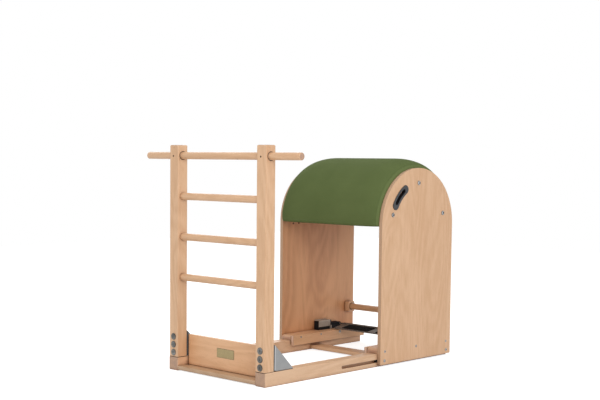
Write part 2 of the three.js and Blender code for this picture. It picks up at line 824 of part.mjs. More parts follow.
// Compression spring between the plunger's collar and the chamber's roof
function brakeSpring() {
  const bottom = collarFoot + plungerCollarDepth + seatGap + springWire / 2;
  const top = chamberTop - seatGap - springWire / 2;
  const curve = new Helix((springOuter - springWire) / 2, bottom, top, springTurns);
  const wireSides = [0, 1, 2, 3, 4].map((i) => (2 * Math.PI * i) / 5);
  const wireRadius = springWire / 2;
  const section = polygon(wireSides.map((a) => [wireRadius * Math.cos(a), wireRadius * Math.sin(a)]));
  const steps = Math.round(springTurns * 8);
  return { curve, geometry: new THREE.ExtrudeGeometry(section, { steps, extrudePath: curve }) };
}

// Least clear space between neighbouring turns of a wound wire
function leastTurnGap(curve, wire, turns) {
  const perTurn = 24;
  const points = curve.getPoints(Math.round(perTurn * turns));
  let least = Infinity;
  points.forEach((point, i) => {
    points.slice(i + perTurn / 2).forEach((other) => {
      least = Math.min(least, point.distanceTo(other));
    });
  });
  return least - wire;
}

// Base frame and ladder, from the front faces of the posts
const base = new THREE.Group();
pair(base, "base_rail", baseRail(), beech, railLength / 2, railY, railHeight / 2);
const floorBoardZ = floorBoardLift + floorBoardThickness / 2;
piece(base, "foot_board", floorBoard(footBoardDepth), beech, footBoardDepth / 2, 0, floorBoardZ);
const crossRailX = crossRailFront + crossRailDepth / 2;
piece(base, "rear_cross_rail", floorBoard(crossRailDepth), beech, crossRailX, 0, floorBoardZ);
const kickBoardX = postDepth + kickBoardSetback + kickBoardThickness / 2;
const kickBoardZ = (kickBoardTop + kickBoardFoot) / 2;
piece(base, "kick_board", kickBoard(), beech, kickBoardX, 0, kickBoardZ);
pair(base, "post", post(), beech, postDepth / 2, postY, postFoot + postLength / 2);
piece(base, "top_bar", topBar(), beech, postDepth / 2, 0, barHeight);
rungHeights.forEach((height, i) => {
  const dowel = rod(rungDiameter / 2, innerWidth + 2 * rungSocketDepth, "y");
  piece(base, `rung_${rungNames[i]}`, dowel, beech, postDepth / 2, 0, height);
});
const plateX = postDepth + seatGap;
piece(base, "corner_plate_left", cornerPlate(), greySteel, plateX, innerWidth / 2, postFoot);
piece(base, "corner_plate_right", cornerPlate(), greySteel, plateX, -postOuterY, postFoot);
postBoltHeights.forEach((height, i) => {
  pair(base, `post_bolt_${postBoltNames[i]}`, postBolt(), zinc, 0, postY, height);
});

// Barrel, from the axis of its round top
const barrel = new THREE.Group();
barrel.position.set(axisX, 0, axisHeight);
const panelY = panelInnerY + panelThickness / 2;
pair(barrel, "side_panel", sidePanel(), plywood, 0, panelY, 0);
pair(barrel, "handle_insert", handleInsert(), blackPlastic, 0, panelY, 0);
piece(barrel, "barrel_pad", barrelPad(), vinyl);
piece(barrel, "barrel_shell", barrelShell(), plywood);
const ringBolt = buttonBolt(buttonHead, ringBoltShank, ringBoltReach);
for (const [name, angle] of Object.entries(battenAngles)) {
  const [x, z] = onRing(ringBoltRadius, angle);
  piece(barrel, `batten_${name}`, batten(angle), beech);
  pair(barrel, `ring_bolt_${name}`, ringBolt, zinc, x, panelOuterY, z);
}

// Carriage: what the panels carry beside and on the rails, from the floor under the barrel's axis
const carriage = new THREE.Group();
carriage.position.set(axisX, 0, 0);
const runnerZ = railHeight + seatGap + (runnerHeight - seatGap) / 2;
pair(carriage, "runner", runner(), beech, 0, (runnerInnerY + runnerOuterY) / 2, runnerZ);
const keeperY = runnerInnerY - seatGap - keeperThickness / 2;
pair(carriage, "keeper", keeper(), beech, 0, keeperY, runnerTop - (runnerHeight + keeperDrop) / 2);
const stripY = railOuterY - stripDepth + (stripDepth + slideGap - seatGap) / 2;
const stripX = (stripFront + stripRear) / 2 - axisX;
pair(carriage, "slide_strip", slideStrip(), blackPlastic, stripX, stripY, grooveCentre);
const slideBolt = buttonBolt(slideBoltHead, slideBoltShank, slideBoltReach);
const slideBoltX = panelRadius - slideBoltInset;
for (const [name, x] of Object.entries({ front: -slideBoltX, rear: slideBoltX })) {
  pair(carriage, `slide_bolt_${name}`, slideBolt, zinc, x, panelOuterY, grooveCentre);
}
const dowelX = panelRadius - dowelFromRear;
piece(carriage, "rear_dowel", rod(dowelDiameter / 2, barrelWidth, "y"), beech, dowelX, 0, dowelHeight);
pair(carriage, "dowel_block", dowelBlock(), beech, dowelX, (barrelWidth - dowelBlockDepth) / 2, dowelHeight);
pair(carriage, "brake_housing", brakeHousing(), blackPlastic, housingX - axisX, housingY, housingFoot);
const strapX = panelFront + strapFront + strapLength / 2 - axisX;
pair(carriage, "housing_strap", housingStrap(), greySteel, strapX, housingY, housingFoot);

// Brake: the lift bar on its pivot, and the plungers, feet and springs in the housings
const brake = new THREE.Group();
brake.position.set(pivotX, 0, pivotZ);
piece(brake, "lift_bar", liftBar(), darkSteel);
pair(brake, "grip_strip", gripStrip(), blackRubber, 0, padStripCentre, 0);
const spring = brakeSpring();
const onRunner = runnerTop - pivotZ;
pair(brake, "brake_plunger", plunger(), darkSteel, -plungerFromPivot, housingY, onRunner);
const footZ = railHeight + seatGap + brakeFootHeight / 2 - pivotZ;
const footGeometry = rod(brakeFoot / 2, brakeFootHeight, "z", coarseFacets);
pair(brake, "brake_foot", footGeometry, blackRubber, -plungerFromPivot, housingY, footZ);
pair(brake, "brake_spring", spring.geometry, zinc, -plungerFromPivot, housingY, -pivotZ);
const turnGap = leastTurnGap(spring.curve, springWire, springTurns);
console.log(`least gap between the spring's turns: ${turnGap.toFixed(2)} mm`);

// The model's origin is on the floor, under the middle of the whole object
const farthestFront = -seatGap - postBoltHeadDepth;
const farthestRear = axisX + padCrown;
const model = new THREE.Group();
model.add(base, barrel, carriage, brake);
model.position.x = -(farthestFront + farthestRear) / 2;

export default model;
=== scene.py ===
from contextlib import contextmanager
import json
from math import cos, pi, radians, sin, sqrt
import bmesh
import bpy
from mathutils import Matrix, Vector
from mathutils.bvhtree import BVHTree


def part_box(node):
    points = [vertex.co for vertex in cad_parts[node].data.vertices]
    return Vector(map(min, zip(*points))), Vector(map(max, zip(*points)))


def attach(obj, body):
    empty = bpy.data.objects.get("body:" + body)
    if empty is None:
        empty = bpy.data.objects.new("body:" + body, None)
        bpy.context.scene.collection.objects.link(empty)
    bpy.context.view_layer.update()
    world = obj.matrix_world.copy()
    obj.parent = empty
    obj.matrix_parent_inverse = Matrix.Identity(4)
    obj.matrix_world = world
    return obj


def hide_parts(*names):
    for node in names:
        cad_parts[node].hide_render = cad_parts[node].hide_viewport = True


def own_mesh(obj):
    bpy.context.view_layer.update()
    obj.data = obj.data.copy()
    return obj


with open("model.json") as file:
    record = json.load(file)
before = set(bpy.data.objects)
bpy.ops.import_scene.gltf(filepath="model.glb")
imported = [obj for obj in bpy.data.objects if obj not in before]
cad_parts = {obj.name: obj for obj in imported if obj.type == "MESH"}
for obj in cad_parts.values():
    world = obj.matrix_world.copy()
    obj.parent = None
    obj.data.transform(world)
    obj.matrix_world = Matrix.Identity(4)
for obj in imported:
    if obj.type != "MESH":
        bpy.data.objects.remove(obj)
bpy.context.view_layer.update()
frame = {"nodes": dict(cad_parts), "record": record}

nodes = frame["nodes"]
bodyOf = {node: body for body, members in frame["record"]["behaviour"]["bodies"].items() for node in members}
slotOf = {row["node"]: row["material_slot"] for row in frame["record"]["subparts"]}
sides = {"left": 1, "right": -1}
bpy.context.scene.view_settings.view_transform = "Standard"
mm = 0.001
weld = 0.001 * mm


def newObject(name, data):
    piece = bpy.data.objects.new(name, data)
    bpy.context.collection.objects.link(piece)
    return piece


def addModifier(piece, name, kind, **settings):
    modifier = piece.modifiers.new(name, kind)
    for key, value in settings.items():
        setattr(modifier, key, value)
    return modifier


# Camera at the photograph's place

cameraSettings = {
    "fromPost": (-3.37326, -3.70617, 0.94437),  # metres, from the front face of the posts, on the floor
    "yaw": -46.4414,  # degrees from +Y, positive towards -X
    "pitch": -3.9154,
    "roll": 0.5682,
    "lensMm": 70.082,
    "shiftUp": 0.0667,
}


def makeCamera(s):
    yaw, pitch, roll = (radians(s[k]) for k in ("yaw", "pitch", "roll"))
    ahead = Vector((-sin(yaw) * cos(pitch), cos(yaw) * cos(pitch), sin(pitch)))
    level = Vector((cos(yaw), sin(yaw), 0))
    upright = level.cross(ahead)
    right = level * cos(roll) + upright * sin(roll)
    up = upright * cos(roll) - level * sin(roll)
    data = bpy.data.cameras.new("camera")
    data.sensor_width = 36
    data.lens = s["lensMm"]
    data.shift_y = s["shiftUp"]
    data.clip_end = 60
    camera = newObject("camera", data)
    turn = Matrix((right, up, -ahead)).transposed()
    start = Vector((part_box("post_left")[0].x, 0, 0))
    camera.matrix_world = Matrix.Translation(start + Vector(s["fromPost"])) @ turn.to_4x4()
    bpy.context.scene.camera = camera


makeCamera(cameraSettings)
print("camera placed")


# Node helpers

def startMaterial(name):
    material = bpy.data.materials.new(name)
    material.use_nodes = True
    tree = material.node_tree
    return material, tree, tree.nodes["Principled BSDF"]


def feed(tree, socket, value):
    if isinstance(value, bpy.types.NodeSocket):
        tree.links.new(value, socket)
    elif isinstance(value, tuple) and socket.type == "RGBA":
        socket.default_value = (*value[:3], 1)
    else:
        socket.default_value = value


def addNode(tree, kind, settings=None, inputs=None):
    # Inputs are a list, or a dictionary by socket name
    node = tree.nodes.new("ShaderNode" + kind)
    for key, value in (settings or {}).items():
        setattr(node, key, value)
    pairs = inputs.items() if isinstance(inputs, dict) else enumerate(inputs or [])
    for key, value in pairs:
        feed(tree, node.inputs[key], value)
    return node


def calc(tree, operation, *values):
    return addNode(tree, "Math", {"operation": operation}, values).outputs[0]


def weighed(tree, *pairs):
    # Sum of values, each times its weight
    total = calc(tree, "MULTIPLY", *pairs[0])
    for value, weight in pairs[1:]:
        total = calc(tree, "MULTIPLY_ADD", value, weight, total)
    return total


def blendColours(tree, factor, first, second, kind="MIX"):
    node = addNode(tree, "Mix", {"data_type": "RGBA", "blend_type": kind})
    for index, value in ((0, factor), (6, first), (7, second)):
        feed(tree, node.inputs[index], value)
    return node.outputs[2]


def ramp(tree, value, low, high):
    inputs = {"Value": value, "From Min": low, "From Max": high}
    return addNode(tree, "MapRange", {"interpolation_type": "SMOOTHSTEP"}, inputs).outputs[0]


def scaled(tree, point, perMetre):
    return addNode(tree, "Mapping", None, {"Vector": point, "Scale": perMetre}).outputs[0]


def shifted(tree, point, by):
    return addNode(tree, "VectorMath", {"operation": "ADD"}, [point, by]).outputs[0]


def noiseOf(tree, point, detail=2.0, rough=0.5, twist=0.0):
    inputs = {"Vector": point, "Scale": 1.0, "Detail": detail, "Roughness": rough, "Distortion": twist}
    return addNode(tree, "TexNoise", None, inputs).outputs[0]


def openness(tree, reachMm, low, high):
    # 1 on open faces, falling to 0 in corners and joints
    node = addNode(tree, "AmbientOcclusion", {"samples": 8}, {"Distance": reachMm * mm})
    return ramp(tree, node.outputs["AO"], low, high)


def bumpFrom(tree, shader, height, strength, depthMm):
    inputs = {"Height": height, "Strength": strength, "Distance": depthMm * mm}
    tree.links.new(addNode(tree, "Bump", None, inputs).outputs[0], shader.inputs["Normal"])


def opposite(tree, value):
    return calc(tree, "SUBTRACT", 1.0, value)


# Timber: clear-lacquered beech, and the veneered ply of the panels

# In each look, corner is a painted shade colour for corners and joints
timberLooks = {
    "beech": {
        "pale": (0.745, 0.475, 0.285), "deep": (0.62, 0.365, 0.20), "fleck": (0.47, 0.25, 0.13),
        "endGrain": (0.40, 0.245, 0.178), "corner": (0.36, 0.22, 0.15), "fleckAmount": 0.3, "figure": 0.075,
    },
    "veneer": {
        "pale": (0.73, 0.462, 0.278), "deep": (0.62, 0.36, 0.192), "fleck": (0.47, 0.26, 0.14),
        "endGrain": (0.45, 0.30, 0.205), "corner": (0.36, 0.22, 0.15), "fleckAmount": 0.28, "figure": 0.055,
        "glueLine": (0.25, 0.15, 0.09), "innerPale": (0.76, 0.41, 0.205), "innerDeep": (0.56, 0.265, 0.12),
    },
}
# Features per metre across the grain and along it
grainScale = {
    "broad": (9, 2.0), "streak": (110, 15), "fibre": (800, 25), "growth": (5, 0.9), "dash": (520, 55),
}
figureBands = 110.0  # how closely the growth figure is banded
endRings = 160.0
poresPerM = 600
pliesPerM = 55.0
timberShadeReachMm = 24  # how far the painted shade in corners and joints reaches
lacquer = {"rough": 0.38, "roughStreak": 0.14, "coat": 0.1, "coatRough": 0.35}


def timberMaterial(name, look, grain, shift, innerSide=0):
    # Every board has its own place in the pattern, so no two are alike
    material, tree, shader = startMaterial(name)
    axis = "xyz".index(grain)
    place = addNode(tree, "TexCoord")
    point = shifted(tree, place.outputs["Object"], shift)

    def along(feature):
        across, run = grainScale[feature]
        return scaled(tree, point, tuple(run if i == axis else across for i in range(3)))

    broad = noiseOf(tree, along("broad"), 2, 0.5, 0.5)
    streak = noiseOf(tree, along("streak"), 4, 0.6, 0.4)
    fibre = noiseOf(tree, along("fibre"), 3, 0.6)
    growth = noiseOf(tree, along("growth"), 1.5, 0.45, 0.3)
    figure = calc(tree, "SINE", weighed(tree, (growth, figureBands), (streak, 2.5)))
    tone = weighed(tree, (broad, 0.4), (streak, 0.45), (fibre, 0.2), (figure, look["figure"]))
    colour = blendColours(tree, ramp(tree, tone, 0.3, 0.78), look["pale"], look["deep"])
    dashes = ramp(tree, noiseOf(tree, along("dash"), 1, 0.4), 0.66, 0.74)
    colour = blendColours(tree, calc(tree, "MULTIPLY", dashes, look["fleckAmount"]), colour, look["fleck"])

    # Cut ends, and on ply its layered edge, and a darker, redder tone on the face that looks into the barrel
    facing = addNode(tree, "SeparateXYZ", None, [place.outputs["Normal"]])
    if "glueLine" in look:
        if innerSide:
            inward = ramp(tree, calc(tree, "MULTIPLY", facing.outputs[1], -innerSide), 0.4, 0.7)
            wavy = weighed(tree, (broad, 0.6), (streak, 0.3), (figure, 0.06), (fibre, 0.1))
            innerTone = blendColours(tree, ramp(tree, wavy, 0.3, 0.75), look["innerPale"], look["innerDeep"])
            colour = blendColours(tree, inward, colour, innerTone)
        cutFace = opposite(tree, ramp(tree, calc(tree, "ABSOLUTE", facing.outputs[1]), 0.4, 0.7))
        waves = {"Vector": point, "Scale": pliesPerM}
        layers = addNode(tree, "TexWave", {"bands_direction": "Y"}, waves).outputs[1]
        plies = blendColours(tree, ramp(tree, layers, 0.3, 0.8), look["endGrain"], look["deep"])
        cutColour = blendColours(tree, ramp(tree, layers, 0.93, 1.0), plies, look["glueLine"])
    else:
        cutFace = ramp(tree, calc(tree, "ABSOLUTE", facing.outputs[axis]), 0.6, 0.8)
        pores = noiseOf(tree, scaled(tree, point, (poresPerM,) * 3), 2, 0.6)
        rings = calc(tree, "SINE", calc(tree, "MULTIPLY", growth, endRings))
        cutTone = ramp(tree, weighed(tree, (pores, 0.8), (rings, 0.04)), 0.25, 0.7)
        cutColour = blendColours(tree, cutTone, look["endGrain"], look["deep"])
    colour = blendColours(tree, cutFace, colour, cutColour)
    # Painted shade: the corner colour is multiplied in where corners and joints lie in shade
    corners = opposite(tree, openness(tree, timberShadeReachMm, 0.15, 0.9))
    colour = blendColours(tree, corners, colour, look["corner"], "MULTIPLY")
    feed(tree, shader.inputs["Base Color"], colour)
    rough = calc(tree, "MULTIPLY_ADD", streak, lacquer["roughStreak"], lacquer["rough"])
    feed(tree, shader.inputs["Roughness"], rough)
    bumpFrom(tree, shader, weighed(tree, (fibre, 1.0), (streak, 0.5)), 0.12, 0.3)
    shader.inputs["Coat Weight"].default_value = lacquer["coat"]
    shader.inputs["Coat Roughness"].default_value = lacquer["coatRough"]
    return material


# Metal, plastic and rubber: one speckled shader with its own values for each

plainFinish = {"metal": 0.0, "specular": 0.5, "reachMm": 5}  # where a finish below says nothing else
finishes = {
    "grey_steel": {
        "colour": (0.29, 0.296, 0.30), "worn": (0.335, 0.34, 0.345),
        "bend": (0.58, 0.60, 0.62),  # painted highlight along the upright fold
        "gap": (0.09, 0.085, 0.085),  # painted shade where the fold meets the post
        "rough": 0.5, "cellsPerM": 900, "reachMm": 30,
    },
    "shaded_steel": {  # painted shade: the same plate, darkened along its fold where it lies in shade in the narrow gap at the left post
        "colour": (0.31, 0.316, 0.322), "worn": (0.355, 0.362, 0.368),
        "bend": (0.05, 0.045, 0.045), "gap": (0.05, 0.045, 0.045),
        "rough": 0.5, "cellsPerM": 900, "reachMm": 30,
    },
    "zinc": {
        "colour": (0.24, 0.245, 0.25), "worn": (0.46, 0.465, 0.47),
        "metal": 0.9, "rough": 0.28, "cellsPerM": 400,
    },
    "discs": {
        "colour": (0.05, 0.05, 0.046), "worn": (0.28, 0.275, 0.26),
        "metal": 0.5, "rough": 0.45, "cellsPerM": 330,
    },
    "strap": {
        "colour": (0.38, 0.325, 0.27), "worn": (0.46, 0.40, 0.345),
        "metal": 0.5, "rough": 0.42, "cellsPerM": 300,
    },
    "black_plastic": {
        "colour": (0.008, 0.008, 0.009), "worn": (0.016, 0.016, 0.018),
        "specular": 0.12, "rough": 0.55, "cellsPerM": 1200,
    },
    "lining": {
        "colour": (0.017, 0.019, 0.023), "worn": (0.036, 0.039, 0.046),
        "rough": 0.4, "cellsPerM": 1200,
    },
    "dark_steel": {
        "colour": (0.05, 0.052, 0.055), "worn": (0.13, 0.13, 0.135),
        "metal": 0.7, "rough": 0.38, "cellsPerM": 250,
    },
    "lift_steel": {
        "colour": (0.09, 0.08, 0.07), "worn": (0.22, 0.195, 0.17),
        "metal": 0.2, "specular": 0.25, "rough": 0.5, "cellsPerM": 120,
    },
    "black_rubber": {
        "colour": (0.008, 0.008, 0.008), "worn": (0.016, 0.016, 0.016),
        "specular": 0.1, "rough": 0.8, "cellsPerM": 1500,
    },
    "brass": {
        "colour": (0.31, 0.245, 0.115), "worn": (0.39, 0.31, 0.16),
        "metal": 0.5, "rough": 0.45, "cellsPerM": 200,
    },
    "gap": {  # painted shade: a dark colour put where a joint or a hole lies in shade
        "colour": (0.03, 0.018, 0.012), "worn": (0.06, 0.035, 0.022),
        "specular": 0.1, "rough": 0.9, "cellsPerM": 400,
    },
    "recess": {  # painted shade: a dark brown put where a shallow joint lies in shade, with some light in it
        "colour": (0.15, 0.07, 0.045), "worn": (0.21, 0.105, 0.07),
        "specular": 0.1, "rough": 0.9, "cellsPerM": 400,
    },
}
cloudsPerM = 18
# painted shade colour, multiplied into a finish in corners and hollows
paintedShadeColour = (0.12, 0.11, 0.11)


def speckledMaterial(name, s):
    material, tree, shader = startMaterial(name)
    texture = addNode(tree, "TexCoord")
    place = texture.outputs["Object"]
    grain = noiseOf(tree, scaled(tree, place, (s["cellsPerM"],) * 3), 2, 0.6)
    clouds = noiseOf(tree, scaled(tree, place, (cloudsPerM,) * 3), 3, 0.6)
    mixed = ramp(tree, weighed(tree, (grain, 0.5), (clouds, 0.5)), 0.35, 0.68)
    colour = blendColours(tree, mixed, s["colour"], s["worn"])
    if "bend" in s:
        # Along the fold the face turns from one side to the other: a painted highlight lightens the middle
        # of the turn, and painted shade darkens the part next to the post
        way = addNode(tree, "SeparateXYZ", None, [texture.outputs["Normal"]])
        across, beside = (calc(tree, "ABSOLUTE", way.outputs[k]) for k in (0, 1))
        turned = calc(tree, "MULTIPLY", across, calc(tree, "POWER", beside, 3.0))
        shaded = calc(tree, "MULTIPLY", ramp(tree, across, 0.4, 0.6), ramp(tree, beside, 0.15, 0.3))
        colour = blendColours(tree, ramp(tree, turned, 0.17, 0.3), colour, s["bend"])
        colour = blendColours(tree, shaded, colour, s["gap"])
    # Painted shade: darker where the part lies in corners and hollows
    paintedShadeMask = opposite(tree, openness(tree, s["reachMm"], 0.15, 0.8))
    feed(tree, shader.inputs["Base Color"], blendColours(tree, paintedShadeMask, colour, paintedShadeColour, "MULTIPLY"))
    feed(tree, shader.inputs["Roughness"], calc(tree, "MULTIPLY_ADD", clouds, 0.16, s["rough"] - 0.08))
    bumpFrom(tree, shader, grain, 0.15, 0.2)
    shader.inputs["Metallic"].default_value = s["metal"]
    shader.inputs["Specular IOR Level"].default_value = s["specular"]
    return material


finishMaterials = {name: speckledMaterial(name, {**plainFinish, **own}) for name, own in finishes.items()}


# Vinyl of the pad

vinylLook = {
    "colour": (0.125, 0.162, 0.06),
    "hollow": (0.095, 0.126, 0.044),
    # seam is the lighter vinyl of the seam beads: a painted highlight
    "seam": (0.155, 0.198, 0.082),
    "border": (0.131, 0.169, 0.063),
    "borderMm": 8,  # width of the painted highlight beside each panel
    "borderShadeMm": 4,
    "borderShade": 0.35,
    "crease": (0.3, 0.3, 0.3),
    "creaseMm": 7,
    "grainPerM": 620,
    "wanderPerM": 260,
    "cloudsPerM": 7,
    "rough": 0.78,
    "specular": 0.06,
    "ior": 1.3,
}
padLow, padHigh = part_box("barrel_pad")
padHalf = (padHigh.y - padLow.y) / 2


def vinylMaterial(name, s, colour):
    material, tree, shader = startMaterial(name)
    place = addNode(tree, "TexCoord").outputs["Object"]
    wander = noiseOf(tree, scaled(tree, place, (s["wanderPerM"],) * 3), 2, 0.5)
    cells = shifted(tree, scaled(tree, place, (s["grainPerM"],) * 3), wander)
    inputs = {"Vector": cells, "Scale": 1.0, "Randomness": 0.9}
    grain = addNode(tree, "TexVoronoi", {"feature": "DISTANCE_TO_EDGE"}, inputs)
    pebble = ramp(tree, grain.outputs[0], 0.0, 0.22)
    clouds = noiseOf(tree, scaled(tree, place, (s["cloudsPerM"],) * 3), 2, 0.5)
    mixed = ramp(tree, weighed(tree, (pebble, 0.6), (clouds, 0.9)), 0.45, 1.2)
    tone = blendColours(tree, mixed, s["hollow"], colour)

    # Painted highlight: a lighter border beside each panel, with a soft painted shade where it starts
    way = addNode(tree, "SeparateXYZ", None, [place])
    fromMiddle = calc(tree, "ABSOLUTE", way.outputs[1])
    seam = padHalf - s["borderMm"] * mm
    tone = blendColours(tree, ramp(tree, fromMiddle, seam - mm, seam + mm), tone, s["border"])
    shadeWidth = s["borderShadeMm"] * mm
    off = calc(tree, "ABSOLUTE", calc(tree, "SUBTRACT", fromMiddle, seam - shadeWidth))
    shade = opposite(tree, ramp(tree, off, 0, shadeWidth))
    tone = blendColours(tree, calc(tree, "MULTIPLY", shade, s["borderShade"]), tone, s["hollow"])

    # Painted shade: darker in creases and corners, where shade falls
    creased = opposite(tree, openness(tree, s["creaseMm"], 0.2, 0.75))
    feed(tree, shader.inputs["Base Color"], blendColours(tree, creased, tone, s["crease"], "MULTIPLY"))
    feed(tree, shader.inputs["Roughness"], calc(tree, "MULTIPLY_ADD", clouds, 0.1, s["rough"] - 0.05))
    bumpFrom(tree, shader, pebble, 0.25, 0.25)
    shader.inputs["Specular IOR Level"].default_value = s["specular"]
    shader.inputs["IOR"].default_value = s["ior"]
    return material


vinyl = vinylMaterial("olive vinyl", vinylLook, vinylLook["colour"])
# The seam beads take a lighter vinyl, a painted highlight along each seam
seamHighlightVinyl = vinylMaterial("olive seam", vinylLook, vinylLook["seam"])
print("materials made")


# Mesh helpers

@contextmanager
def editing(mesh):
    work = bmesh.new()
    work.from_mesh(mesh)
    yield work
    work.to_mesh(mesh)
    work.free()


def edgeAt(size, turn, shape="round"):
    # From the middle to the rim of a round, six-sided or cross-shaped outline
    if shape == "hex":
        return size / cos((turn + pi / 6) % (pi / 3) - pi / 6)
    if shape == "cross":
        off = (turn + pi / 4) % (pi / 2) - pi / 4
        return min(size, 0.3 * size / max(abs(sin(off)), 0.01))
    return size


def skin(work, loops):
    # Faces between each ring of corners and the next, and over both ends
    for first, second in zip(loops, loops[1:]):
        for k in range(len(first)):
            after = (k + 1) % len(first)
            work.faces.new((first[k], first[after], second[after], second[k]))
    work.faces.new(reversed(loops[0]))
    work.faces.new(loops[-1])


def turnedMesh(rings, facets=48):
    # Rings of (height, size) in millimetres from the foot up; they are round unless a shape follows
    mesh = bpy.data.meshes.new("turned")
    turns = [2 * pi * k / facets for k in range(facets)]
    with editing(mesh) as work:
        loops = []
        for height, size, *shape in rings:
            rim = [(t, edgeAt(size, t, *shape) * mm) for t in turns]
            loops.append([work.verts.new((r * cos(t), r * sin(t), height * mm)) for t, r in rim])
        skin(work, loops)
    return mesh


def curveMesh(settings, lines, closed):
    curve = bpy.data.curves.new("curve", "CURVE")
    for key, value in settings.items():
        setattr(curve, key, value)
    for line in lines:
        spline = curve.splines.new("POLY")
        spline.points.add(len(line) - 1)
        for point, place in zip(spline.points, line):
            point.co = (*place, 1)
        spline.use_cyclic_u = closed
    carrier = bpy.data.objects.new("curve", curve)
    mesh = bpy.data.meshes.new_from_object(carrier)
    bpy.data.objects.remove(carrier)
    return mesh


def slabMesh(outlines, thick):
    # Sheet of one outline with any holes in it, from z = 0 up, in metres
    sheet = {"dimensions": "2D", "fill_mode": "BOTH", "extrude": thick / 2}
    mesh = curveMesh(sheet, [[(x, y, 0) for x, y in outline] for outline in outlines], True)
    mesh.transform(Matrix.Translation((0, 0, thick / 2)))
    with editing(mesh) as work:
        bmesh.ops.remove_doubles(work, verts=work.verts, dist=weld)
        bmesh.ops.recalc_face_normals(work, faces=work.faces)
    return mesh


def setInPlace(mesh, origin, right=(1, 0, 0), up=(0, 0, 1)):
    # Local x, y and z go along right, up and right x up
    right, up = Vector(right), Vector(up)
    turn = Matrix((right, up, right.cross(up))).transposed()
    mesh.transform(Matrix.Translation(origin) @ turn.to_4x4())
    return mesh


def facing(mesh, origin, outward):
    # Local z goes outward
    turn = Vector((0, 0, 1)).rotation_difference(Vector(outward))
    mesh.transform(Matrix.Translation(origin) @ turn.to_matrix().to_4x4())
    return mesh


def faceY(box, sign):
    # The face that looks left for 1 and right for -1
    return box[1].y if sign > 0 else box[0].y


def pointAt(centre, radius, degrees):
    turn = radians(degrees)
    return (centre[0] + radius * cos(turn), centre[1] + radius * sin(turn))


def arcPoints(centre, radius, start, end, steps):
    return [pointAt(centre, radius, start + (end - start) * k / steps) for k in range(steps + 1)]


def roundedBox(low, high, corner):
    # Outline of a rectangle with round corners, from its two opposite corners
    left, bottom, right, top = low[0] + corner, low[1] + corner, high[0] - corner, high[1] - corner
    points = []
    for k, centre in enumerate(((right, top), (left, top), (left, bottom), (right, bottom))):
        points += arcPoints(centre, corner, 90 * k, 90 * k + 90, 4)
    return points


def smoothByAngle(mesh, degrees):
    with editing(mesh) as work:
        for face in work.faces:
            face.smooth = True
        for edge in work.edges:
            edge.smooth = len(edge.link_faces) == 2 and edge.calc_face_angle(0) < radians(degrees)


def giveObject(name, mesh, look, body, replaced=(), easeMm=0, smoothDegrees=33):
    # The look is a material or the name of a finish
    smoothByAngle(mesh, smoothDegrees)
    mesh.name = name
    piece = newObject(name, mesh)
    mesh.materials.clear()
    mesh.materials.append(finishMaterials[look] if isinstance(look, str) else look)
    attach(piece, body)
    if replaced:
        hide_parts(*replaced)
    if easeMm:
        angle = radians(smoothDegrees)
        edges = {"width": easeMm * mm, "segments": 2, "limit_method": "ANGLE", "angle_limit": angle}
        addModifier(piece, "edges", "BEVEL", **edges, harden_normals=True)
    return piece


# Sawn timber keeps the frame's own solids, each with its own cut of wood

grainOf = {
    "base_rail": "x", "foot_board": "y", "rear_cross_rail": "y", "kick_board": "y", "post": "z",
    "top_bar": "y", "rung": "y", "side_panel": "z", "barrel_shell": "y", "batten": "y", "runner": "x",
    "keeper": "x", "rear_dowel": "y", "dowel_block": "z",
}
tintAndPaintedLightOf = {  # a node's own tint comes before its family's; some are painted light or shade, as marked
    # painted light: the left rail lighter, where light falls on its inner side
    "base_rail_left": (1.12, 1.14, 1.2),
    "base_rail": (0.99, 1.03, 1.09),
    # painted light: the left runner lighter, where light falls on its top
    "runner_left": (1.16, 1.13, 1.1),
    "runner": (1.04, 0.98, 0.93),
    # painted shade: the foot board darker, where it lies low between the rails
    "foot_board": (0.75, 0.79, 0.82),
    "kick_board": (1.05, 0.99, 0.92),
    "keeper": (1.06, 1.0, 0.92),
}
# The keepers' end grain is painted light: their front ends lighter, where they face the light
endGrainOf = {"keeper": (0.72, 0.50, 0.39), "base_rail": (0.375, 0.235, 0.165)}
boardShift = (0.37, 0.61, 0.83)
turnedEaseMm = {"top_bar": 5, "rung_lower": 2, "rung_middle": 2, "rung_upper": 2, "rear_dowel": 2}


def timberFor(node):
    family = next(key for key in grainOf if node.startswith(key))
    look = dict(timberLooks["veneer" if family in ("side_panel", "barrel_shell") else "beech"])
    tint = tintAndPaintedLightOf.get(node, tintAndPaintedLightOf.get(family, (1, 1, 1)))
    for key in ("pale", "deep", "endGrain"):
        look[key] = tuple(a * b for a, b in zip(look[key], tint))
    look["endGrain"] = endGrainOf.get(family, look["endGrain"])
    count = sorted(nodes).index(node)
    shift = tuple(step * count for step in boardShift)
    inner = sides[node.split("_")[-1]] if family == "side_panel" else 0
    return timberMaterial("timber " + node, look, grainOf[family], shift, inner)


for node in sorted(nodes):
    if slotOf[node] == "beech" and node not in turnedEaseMm:
        nodes[node].data.materials.clear()
        nodes[node].data.materials.append(timberFor(node))
print("sawn timber finished")


# Turned timber: top bar, rungs and rear dowel

def rodRings(lengthMm, radiusMm, easeMm):
    turns = [pi / 2 * k / 5 for k in range(5, -1, -1)]
    foot = [(easeMm * (1 - sin(t)) - lengthMm / 2, radiusMm - easeMm * (1 - cos(t))) for t in turns]
    return foot + [(-height, size) for height, size in reversed(foot)]


def makeTurned(node, easeMm):
    low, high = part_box(node)
    rings = rodRings((high.y - low.y) / mm, (high.z - low.z) / 2 / mm, easeMm)
    mesh = facing(turnedMesh(rings, 64), (low + high) / 2, (0, 1, 0))
    first, second = node.split("_")
    giveObject(first + second.capitalize(), mesh, timberFor(node), bodyOf[node], [node])


for node, easeMm in turnedEaseMm.items():
    makeTurned(node, easeMm)


# Bushes round the top bar where it goes through the posts, with a ring of painted shade round each

